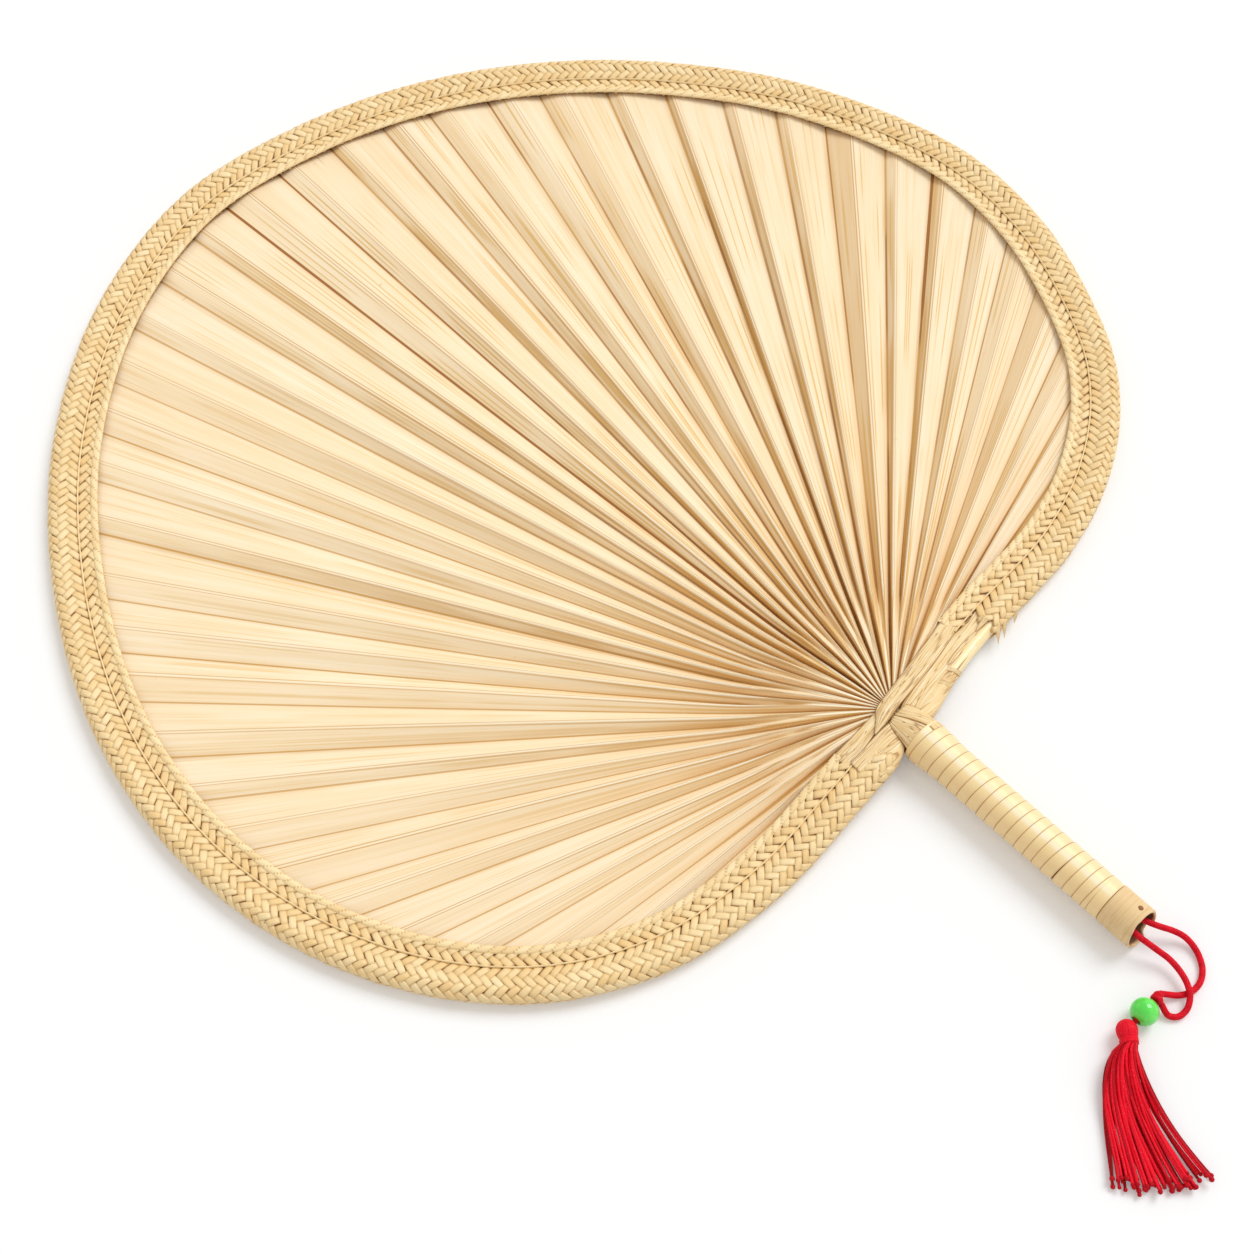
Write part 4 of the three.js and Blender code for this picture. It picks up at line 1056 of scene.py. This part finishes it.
def leafShape(t, given):
    strips = given["strips"]
    grid = t.cube(t.vector(strips, 1.0, 1.0), strips * given["perStrip"] + 1, given["rings"], 2)
    x, y, z = t.spot()
    across = x + strips * 0.5
    line = t.maths("FLOOR", across + 0.001)
    part = (across - line).math("MAXIMUM", 0.0)

    def scatter(number, shift):
        wave = t.maths("SINE", leafScatter["rate"] * (number + 1) + shift)
        return (leafScatter["gain"] * wave).math("FRACT") * 2 - 1

    def foldPlace(number):
        # ridges lean back over the strip before them, more so to the right
        inner = (number > 0.5) * (number < strips - 0.5)
        grown = (number / strips).smooth(given["leanStart"], given["leanFull"])
        lean = number % 2.0 * given["lean"] * t.blend(grown, given["leanLeast"], 1.0)
        return number + inner * given["stray"] * scatter(number, 0.0) - lean

    place0, place1 = foldPlace(line), foldPlace(line + 1)
    length = given["start"] + (rimLength - 2 * given["start"]) * t.blend(part, place0, place1) / strips
    rimX, rimY, tangentX, tangentY = fromRail(t, given, length, given["rimInset"])
    toX = rimX - given["hubX"]
    toY = rimY - given["hubY"]
    whole = t.maths("SQRT", toX * toX + toY * toY)
    toX = toX / whole
    toY = toY / whole
    reach = given["hubRadius"] + (whole - given["hubRadius"]) * (y + 0.5) ** given["ringEase"]
    px = given["hubX"] + toX * reach
    py = given["hubY"] + toY * reach
    # folds are low at the hub and pressed flat under the plaits
    facing = (toY * tangentX - toX * tangentY).math("MAXIMUM", given["facingLeast"])
    band = (whole - given["bandRun"] / facing).math("MAXIMUM", whole * given["bandLeast"])
    ramp = ((1 - reach / band) / given["rampShare"]).clamp(0.0, 1.0)
    # near the hub every other valley closes, so that the folds go in pairs
    merge = 1 - reach.smooth(given["mergeEnd"], given["mergeStart"])

    def foldHeight(number):
        full = given["fold"] * (1 + given["uneven"] * scatter(number, 4.0))
        full = full * (reach / given["foldRise"]).math("MINIMUM", 1.0)
        held = given["pressed"] + (full - given["pressed"]).math("MAXIMUM", 0.0) * ramp
        closing = abs(number % 4.0 - 2) < 0.5
        return (number % 2.0 * 2 - 1 + closing * merge * given["mergeRise"]) * full.math("MINIMUM", held)

    cup = part * (1 - part) * t.chance(-0.4, 0.8, 24, line)
    height = t.blend(part, foldHeight(line), foldHeight(line + 1)) + cup + given["sheet"] * z
    odd = line % 2.0
    width = (place1 - place0) * (rimLength / strips) * reach / whole
    atSplit = abs(across - splitLine) < leafSplits["half"]
    atTear = (abs(across - tearLine) < leafSplits["half"]) * (reach > leafSplits["tearStart"])
    grid = t.store(grid, "strand", across)
    grid = t.store(grid, "reach", reach)
    paired = 1 - abs((across * 0.25).math("FRACT") * 2 - 1)
    grid = t.store(grid, "ridge", t.blend(merge, t.blend(odd, part, 1 - part), paired))
    grid = t.store(grid, "width", width * (1 + merge))
    grid = t.store(grid, "split", atSplit.math("MAXIMUM", atTear))
    grid = t.move(grid, t.vector(px, py, liftAt(t, px, py) + height))
    return t.flip(grid)


leafMesh = grow("palmLeaf", leafFinish, leaf, leafShape, railMesh)
addPiece(leafMesh, "fan", "leaf", "palm_leaf")

stalk = {
    "stops": [(-30, 4.9, 4.9), (0, 4.9, 4.9), (6, 5.25, 3.05), (12, 5.6, 1.2), (17, 4.6, 0.8)], "levelEnd": 6,
    "sides": 28, "grainHalf": 0.45, "grainSeed": 3.0,
}


def onStalk(y, halfX, halfZ, angle):
    middle = tube["axisZ"] if y <= stalk["levelEnd"] else bladeZ(0, y)
    return halfX * math.cos(angle), y, middle + halfZ * math.sin(angle)


def stalkGrain(y, halfX, halfZ, angle):
    return y, stalk["grainHalf"] * math.cos(angle), stalk["grainSeed"]


stalkPoints = turnedPoints(stalk["stops"], stalk["sides"], onStalk)
stalkGrains = turnedPoints(stalk["stops"], stalk["sides"], stalkGrain)
stalkMesh = closedMesh("leafStalk", stalkPoints, stalk["sides"], ribbonFinish, {"grain": stalkGrains})
addPiece(stalkMesh, "fan", "leaf")
print("leaf folded")

# Flat fibrous strips at the base, each a thin sheet over rows of points


def spread(keys, count):
    # rows of numbers eased smoothly between a few keys
    keys = np.array(keys, float)
    padded = np.vstack([2 * keys[0] - keys[1], keys, 2 * keys[-1] - keys[-2]])
    rows = []
    for at in np.linspace(0, len(keys) - 1, count):
        i = min(int(at), len(keys) - 2)
        rows.append(between(padded[i:i + 4], at - i))
    return np.array(rows)


def sheetMesh(name, grid, thickness, seed, side=1):
    # the grid's rows are the sheet's top, and the underside lies a thickness away on the given side
    grid = np.array(grid, float)
    normal = np.cross(np.gradient(grid, axis=0), np.gradient(grid, axis=1))
    normal /= np.linalg.norm(normal, axis=2, keepdims=True)
    under = grid - normal * thickness * side
    columns = grid.shape[1]
    rings = np.concatenate([grid, under[:, ::-1]], axis=1)
    middle = grid.mean(axis=1)
    run = np.concatenate([[0], np.cumsum(np.linalg.norm(np.diff(middle, axis=0), axis=1))])
    shares = np.linspace(-0.5, 0.5, columns)
    shares = np.concatenate([shares, shares[::-1]])
    grain = [(length, share, seed) for length in run for share in shares]
    return closedMesh(name, rings.reshape(-1, 3), 2 * columns, ribbonFinish, {"grain": grain})


def ribbonGrid(stops, crown, count=44, columns=10):
    # stops of (x, y) on one edge, (x, y) on the other and the height above the blade, with a crowned top
    grid = []
    for x0, y0, x1, y1, rise in spread(stops, count):
        row = []
        for share in np.linspace(0, 1, columns):
            x, y = x0 + (x1 - x0) * share, y0 + (y1 - y0) * share
            row.append((x, y, bladeZ(x, y) + rise + crown * (1 - (2 * share - 1) ** 4)))
        grid.append(row)
    return grid


stripSheet = {"thickness": 0.7, "firstSeed": 10.0}
baseStrips = {
    "baseStripRight": (["base_strip_right"], 0.3, [
        (50, 24.6, 48.6, 31.6, 1.3), (42, 22.6, 40.8, 29.7, 2.4), (30, 19.6, 28.6, 27, 2.9),
        (16, 17, 14.2, 24, 3.1), (3, 15.2, 1.6, 21.7, 3.2), (-4.7, 13.7, -4, 20.4, 3.2),
        (-8.6, 13.3, -7.6, 17.2, 3.1), (-12.2, 13.1, -11.8, 13.9, 3.0)]),
    "baseStripLeft": (["base_strip_left"], 0.25, [
        (-28.5, 11.3, -28.8, 18.6, 2.2), (-20, 12, -19.5, 19, 2.2), (-12, 13.6, -10, 19.6, 2.1),
        (-4, 14.4, -2, 20, 1.9), (4, 15.5, 4.5, 20.2, 1.7)]),
    "liningStripFront": (["lining_strip_front"], 0.3, [
        (62, 17.4, 60, 25.6, 1.4), (50, 14.6, 48.4, 23, 2.2),
        (40, 12.8, 38.6, 22.6, 2.3), (28, 10.4, 26.6, 20, 2.5), (16, 8, 14.6, 18, 2.6),
        (8, 6, 6.2, 16, 2.3), (4.4, 5, 2.4, 14.6, 2.0)]),
    "leftTailStrip": ([], 0.3, [
        (-27, 6.4, -26.6, 12, 3.3), (-18.5, 6, -17.6, 12.6, 3), (-11, 6, -9.4, 13.4, 2.6),
        (-5.4, 5.6, -2.6, 13.2, 2.2)]),
}
for i, (name, (nodes, crown, stops)) in enumerate(baseStrips.items()):
    side = -1 if stops[0][0] > 0 else 1
    grid = ribbonGrid(stops, crown)
    mesh = sheetMesh(name, grid, stripSheet["thickness"], stripSheet["firstSeed"] + i, side)
    addPiece(mesh, "fan", "straw", *nodes)

lining = {
    "lengths": (-53.8, -12, 30), "insets": (8.8, 13.4, 8), "height": -1.5, "thickness": 1.0, "seed": 15.0,
}
liningGrid = []
for length in np.linspace(*lining["lengths"]):
    liningGrid.append([railSpot(length, inset, lining["height"]) for inset in np.linspace(*lining["insets"])])
liningMesh = sheetMesh("liningStripBack", liningGrid, lining["thickness"], lining["seed"], -1)
addPiece(liningMesh, "fan", "straw", "lining_strip_back")

# Rounded ends of the rim beside the head: stops of (length, inset, half width, half height, height)
rimTails = {
    "leftRimTail": [(23, 4.45, 4.2, 4.1, 0), (16, 4.6, 4.2, 3.9, 0), (11.2, 5, 4, 3.3, 0.2),
                    (7.2, 5.8, 3.3, 2.4, 0.3), (5.2, 6.4, 1.8, 1.1, 0.4)],
    "rightRimTail": [(-31, 4.45, 3.05, 3, 0), (-25, 4.5, 3.4, 3.1, 0), (-17, 4.4, 3.7, 3.1, 0.1),
                     (-10, 4.5, 3.7, 2.9, 0.3), (-6.5, 4.9, 3.3, 2.3, 0.4), (-4.6, 5.4, 2, 1.2, 0.4)],
}
tail = {
    "rows": 26, "sides": 28, "ripple": 0.025, "ribs": 7, "ribTwist": 0.2, "grainHalf": 0.42,
    "grainTwist": 0.08, "firstSeed": 50.0,
}
for i, (name, stops) in enumerate(rimTails.items()):
    points, grain = [], []
    for length, inset, wide, high, rise in spread(stops, tail["rows"]):
        for j in range(tail["sides"]):
            angle = 2 * math.pi * j / tail["sides"]
            ripple = 1 + tail["ripple"] * math.sin(tail["ribs"] * angle + tail["ribTwist"] * length)
            across, height = ripple * wide * math.cos(angle), ripple * high * math.sin(angle)
            points.append(railSpot(length, inset + across, rise + height))
            share = tail["grainHalf"] * math.cos(angle + tail["grainTwist"] * length)
            grain.append((length, share, tail["firstSeed"] + i))
    addPiece(closedMesh(name, points, tail["sides"], ribbonFinish, {"grain": grain}), "fan", "straw")

# Lashing: each strip fans out from its root at the crossing to an arc on the tube, under the winding
lash = {
    "radius": 7.75, "thickness": 0.55, "neckY": 0.5, "neckShare": 0.8, "endY": -3.4, "rows": 18,
    "columns": 12, "rootRise": 1.9, "arch": 0.84, "archLift": 0.6, "firstSeed": 20.0,
}
lashSpans = {
    "Right": ((-1.6, 14.0), (6.0, 14.0), 12, 86, 0.35),
    "Left": ((-5.4, 12.8), (-0.8, 14.2), -80, 22, 0.0),
}
for sideZ, face in ((1, "Front"), (-1, "Back")):
    for word, (rootA, rootB, angleA, angleB, lift) in lashSpans.items():
        grid = []
        for v in np.linspace(0, 1, lash["rows"]):
            row = []
            for c in np.linspace(0, 1, lash["columns"]):
                x, y = rootA[0] + (rootB[0] - rootA[0]) * c, rootA[1] + (rootB[1] - rootA[1]) * c
                root = Vector((x, y, bladeZ(x, y) - tube["axisZ"] + lash["rootRise"]))
                angle = math.radians(angleA + (angleB - angleA) * c)
                radius = lash["radius"] + lift
                end = Vector((radius * math.sin(angle), lash["neckY"], radius * math.cos(angle)))
                run = min(v / lash["neckShare"], 1)
                arch = (lash["arch"] + lift * lash["archLift"]) * math.sin(math.pi * run)
                spot = root.lerp(end, run) + Vector((0, 0, arch))
                if v > lash["neckShare"]:
                    past = (v - lash["neckShare"]) / (1 - lash["neckShare"])
                    spot.y += (lash["endY"] - lash["neckY"]) * past
                row.append((spot.x, spot.y, tube["axisZ"] + sideZ * spot.z))
            grid.append(row)
        name = "lash" + face + word
        mesh = sheetMesh(name, grid, lash["thickness"], lash["firstSeed"] + len(name) + sideZ, -sideZ)
        addPiece(mesh, "fan", "straw", "lash_" + face.lower() + "_" + word.lower())
print("base strips laid")

# Hoop rod, its wrap and the frayed slivers at the plait's end
hoop = {"radius": 2.8, "inset": 4.45, "end": 13.0, "sides": 18, "step": 4.0}
hoopLengths = np.arange(hoop["end"], rimLength - hoop["end"], hoop["step"])
hoopLine = [railSpot(length, hoop["inset"], 0) for length in hoopLengths]
hoopPoints = tubeAlong(hoopLine, hoop["sides"], lambda length, angle: (hoop["radius"], 0))[0]
hoopStops = [(i * hoop["step"],) for i in range(len(hoopLine))]
hoopGrain = turnedPoints(hoopStops, hoop["sides"], lambda length, angle: (length, math.cos(angle) / 2, 0))
hoopMesh = closedMesh("hoopRod", hoopPoints, hoop["sides"], rodFinish, {"grain": hoopGrain})
addPiece(hoopMesh, "fan", "cane", "rim_hoop")

wrap = {
    "start": 21.0, "pitch": 6.5, "loops": 2, "perLoop": 32, "width": 1.8, "columns": 7, "thickness": 0.24,
    "rise": 0.16, "seed": 31.0,
}
wrapRadius = hoop["radius"] + wrap["rise"]
wrapGrid = []
for i in range(wrap["loops"] * wrap["perLoop"] + 1):
    loops = i / wrap["perLoop"]
    turn = 2 * math.pi * loops
    inset, height = hoop["inset"] + wrapRadius * math.cos(turn), wrapRadius * math.sin(turn)
    start = wrap["start"] + loops * wrap["pitch"]
    shifts = np.linspace(0, wrap["width"], wrap["columns"])
    wrapGrid.append([railSpot(-(start + shift), inset, height) for shift in shifts])
addPiece(sheetMesh("hoopWrap", wrapGrid, wrap["thickness"], wrap["seed"], -1), "fan", "straw", "hoop_wrap")

# each sliver has a root and a tip of (length, inset, height), and a half width at the root
slivers = [((-58.5, 2.2, 3.3), (-52.0, -2.7, 0.6), 1.3), ((-61, 0.8, 2.2), (-56, -2.9, 0.2), 1.0),
           ((-57, 6.6, 4.2), (-50.0, 6.4, 3.2), 1.3), ((-68, 0.5, 1.4), (-64.5, -1.7, -0.3), 0.9)]
sliver = {"rows": 12, "columns": 5, "thickness": 0.35, "taper": 1.6, "leastHalf": 0.06, "firstSeed": 40.0}
for i, (root, tip, half) in enumerate(slivers):
    grid = []
    for share in np.linspace(0, 1, sliver["rows"]):
        length, inset, height = (root[k] + (tip[k] - root[k]) * share for k in range(3))
        wide = max(half * (1 - share ** sliver["taper"]), sliver["leastHalf"])
        shifts = np.linspace(-wide, wide, sliver["columns"])
        grid.append([railSpot(length, inset + shift, height) for shift in shifts])
    name = "frayedSliver%d" % (i + 1)
    addPiece(sheetMesh(name, grid, sliver["thickness"], sliver["firstSeed"] + i, -1), "fan", "straw")
print("hoop and wraps made")

# Handle: bamboo tube with a ringed sleeve at its mouth
sleeve = {"stops": 60, "inset": 0.35, "sink": 0.1, "rib": 0.05, "ribTurn": 2.1, "stray": (-0.05, 0.03)}
mouth = {
    "outerLip": [(-0.25, 0.08), (-0.55, 0)], "innerLip": [(0.25, 0), (0, 0.25)], "wallStart": 1,
    "wallStops": 8, "around": 96, "wornLength": 4, "wearGain": 1.3, "waves": [(0.12, 3), (0.1, 7)],
    "notchDepth": 1.9, "notchAt": math.radians(-52), "notchHalf": math.radians(24),
}
endY = -tube["length"]
sleeveY = endY + tube["sleeveLength"]
floorY = endY + tube["mouthDepth"]
sleeveLuck = random.Random(5)
profile = [(tube["radius"], -tube["top"]), (tube["radius"], sleeveY)]
for i in range(sleeve["stops"] + 1):
    rib = sleeve["rib"] * math.sin(i * sleeve["ribTurn"]) + sleeveLuck.uniform(*sleeve["stray"])
    y = sleeveY - (tube["sleeveLength"] - sleeve["inset"]) * i / sleeve["stops"]
    profile.append((tube["sleeveRadius"] - sleeve["sink"] + rib, y))
profile += [(tube["sleeveRadius"] + out, endY + rise) for out, rise in mouth["outerLip"]]
profile += [(tube["mouthRadius"] + out, endY + rise) for out, rise in mouth["innerLip"]]
innerStart = len(profile)
wallStops = np.linspace(endY + mouth["wallStart"], floorY, mouth["wallStops"])
profile += [(tube["mouthRadius"], y) for y in wallStops]
profile += [(tube["bore"], floorY), (tube["bore"], -tube["top"])]
mouthLuck = random.Random(8)
wearPhases = [mouthLuck.uniform(0, 6.28) for wave in mouth["waves"]]


def mouthCut(angle):
    # how far the mouth's edge is worn back, with one chipped notch low on the right
    wear = 0
    for (depth, count), phase in zip(mouth["waves"], wearPhases):
        wear += depth * math.sin(count * angle + phase)
    gap = math.remainder(angle - mouth["notchAt"], 2 * math.pi) / mouth["notchHalf"]
    return max(0, wear) + mouth["notchDepth"] * max(0, 1 - gap ** 4)


def onTube(radius, y, angle):
    z = radius * math.sin(angle)
    near = max(0, 1 - (y - endY) / mouth["wornLength"])
    cut = mouthCut(angle) * min(1, near * mouth["wearGain"]) + z * tube["slant"] * near
    return radius * math.cos(angle), y + cut, tube["axisZ"] + z


tubePoints = turnedPoints(profile, mouth["around"], onTube)
tubeValues = {
    "alongTube": turnedPoints(profile, mouth["around"], lambda radius, y, angle: y),
    "turn": turnedPoints(profile, mouth["around"], lambda radius, y, angle: math.sin(angle)),
    # the bore's walls get painted shade
    "inside": [float(i >= innerStart) for i in range(len(profile)) for j in range(mouth["around"])],
}
tubeMesh = closedMesh("handleTube", tubePoints, mouth["around"], bambooFinish, tubeValues, joined=True)
addPiece(tubeMesh, "fan", "bamboo", "handle_tube")

peg = {"past": 0.1, "end": [(0.0, 0.5), (0.1, 0.95), (0.5, 1.1)], "sides": 20, "inside": 0.45}
pegHalf = tube["sleeveRadius"] + peg["past"]
pegEnd = [(inset - pegHalf, radius) for inset, radius in peg["end"]]
pegStops = pegEnd + [(-along, radius) for along, radius in reversed(pegEnd)]
pegSpot = fromMouth((0, cordSizes["pegInset"], tube["axisZ"]))
pegAxis = Vector((math.sin(cordSizes["pegTilt"]), 0, math.cos(cordSizes["pegTilt"])))
pegSide = Vector((pegAxis.z, 0, -pegAxis.x))


def onPeg(along, radius, angle):
    out = pegSide * math.cos(angle) + Vector((0, 1, 0)) * math.sin(angle)
    return pegSpot + pegAxis * along + out * radius


pegPoints = turnedPoints(pegStops, peg["sides"], onPeg)
# the peg sits in the tube's mouth and gets painted bore shade
pegShade = [peg["inside"]] * len(pegPoints)
pegMesh = closedMesh("cordPeg", pegPoints, peg["sides"], bambooFinish, {"inside": pegShade})
addPiece(pegMesh, "fan", "bamboo", "cord_peg")

winding = {
    "loops": 20.0, "perLoop": 48, "length": 87.2, "radius": 7.55, "thickness": 0.55, "lap": 0.7,
    "tilt": 0.085, "sway": 0.55, "raise": 2.0, "bulge": 0.085, "bulgeEnd": 5.0, "bulgeFade": 12.0,
    "edgeStep": 0.5, "edgeThin": 0.45,
}


def windingShape(t, given):
    # the first and last turns lie square to the tube, and the turns between them advance
    pitch = given["length"] / given["loops"]
    turns = given["loops"] + 1.0
    path = t.node("GeometryNodeCurveSpiral", None, {
        "Resolution": given["perLoop"], "Rotations": turns, "Start Radius": given["radius"],
        "End Radius": given["radius"], "Height": turns * pitch})
    x, y, z = t.spot()
    down = (z - pitch).clamp(0.0, given["length"] - pitch)
    over = ((pitch * 2 - z) / pitch).math("MINIMUM", 1.0) * (z > pitch * 0.98)
    over = over.math("MAXIMUM", 0.0) * given["thickness"]
    widen = 1 + over / given["radius"]
    # each turn lies a little off its even place, and changes over on the underside
    loop = t.maths("FLOOR", z / pitch)
    change = (z / pitch - loop).smooth(0.5, 1.0)
    offset = t.blend(change, t.chance(-1.0, 1.0, 15, loop), t.chance(-1.0, 1.0, 15, loop + 1))
    offset = offset * given["sway"] * (z > pitch * 2) * (z < given["length"] - pitch)
    path = t.store(path, "along", t.node("GeometryNodeSplineParameter").other("Length"))
    path = t.move(path, t.vector(x * widen, y * widen, down + pitch * 0.5 + offset))
    path = t.node("GeometryNodeSetCurveNormal", {"mode": "Z_UP"}, {"Curve": path})
    path = t.node("GeometryNodeSetCurveTilt", None, {"Curve": path, "Tilt": given["tilt"]})
    wide = pitch + given["lap"]
    profile = t.node("GeometryNodeCurvePrimitiveQuadrilateral", None,
                     {"Width": given["thickness"], "Height": wide})
    profile = t.node("GeometryNodeResampleCurve", {"mode": "LENGTH"},
                     {"Curve": profile, "Length": given["edgeStep"]})
    x, y = t.spot()[:2]
    profile = t.store(profile, "across", y / wide)
    edge = (y / wide * 2) ** 4
    profile = t.move(profile, t.vector(x * (1 - edge * given["edgeThin"]), y, 0.0))
    strip = t.sweep(path, profile)
    x, y, z = t.spot()
    swell = 1 + (1 - (z - given["bulgeEnd"]).smooth(0.0, given["bulgeFade"])) * given["bulge"]
    strip = t.store(strip, "side", x / given["radius"])
    down = z.clamp(0.0, given["length"])
    raised = given["raise"] * (1 - down / given["length"]) - tube["top"] - down
    return t.move(strip, t.vector(x * swell, raised, tube["axisZ"] + y * swell))


windingMesh = grow("handleWinding", windingFinish, winding, windingShape, emptyHost)
addPiece(windingMesh, "fan", "cane", "handle_winding")
print("handle made")

# White floor and plain soft light from the right
light = {
    "ambient": 0.68, "ambientColor": (1, 0.978, 0.945), "sun": 1.62, "sunColor": (0.92, 0.955, 1.0),
    "sunAngle": math.radians(32), "sunFrom": (0.78, 0.0, 0.95), "floorHalf": 4,
    "floorDark": (0.80, 0.80, 0.80), "floorPale": (0.82, 0.82, 0.82), "floorGlow": 0.17,
}


def paintFloor(t):
    spot = t.node("ShaderNodeTexCoord", None, None, "Object")
    grain = t.noise(spot, scale=900.0)
    return {
        "Base Color": t.mix(grain, light["floorDark"], light["floorPale"]), "Roughness": 0.95,
        "Specular IOR Level": 0.0, "Emission Color": t.mix(t.seen(), (0, 0, 0), (1, 1, 1)),
        "Emission Strength": light["floorGlow"],
    }


floorMesh = bpy.data.meshes.new("floor")
half = light["floorHalf"]
floorCorners = [(-half, -half, 0), (half, -half, 0), (half, half, 0), (-half, half, 0)]
floorMesh.from_pydata(floorCorners, [], [(0, 1, 2, 3)])
floorMesh.materials.append(finish("floorFinish", paintFloor))
floor = bpy.data.objects.new("floor", floorMesh)
scene.collection.objects.link(floor)

world = bpy.data.worlds.new("studio")
scene.world = world
world.use_nodes = True
t = Nodes(world.node_tree)
seen = t.seen()
strength = light["ambient"] + seen * (1 - light["ambient"])
skyColor = t.mix(seen, light["ambientColor"], (1, 1, 1))
sky = t.node("ShaderNodeBackground", None, {"Color": skyColor, "Strength": strength})
t.node("ShaderNodeOutputWorld", None, {"Surface": sky})

sunData = bpy.data.lights.new("sun", "SUN")
sunData.energy = light["sun"]
sunData.color = light["sunColor"]
sunData.angle = light["sunAngle"]
sun = bpy.data.objects.new("sun", sunData)
scene.collection.objects.link(sun)
sun.rotation_euler = Vector(light["sunFrom"]).to_track_quat("Z", "Y").to_euler()
print("light set")
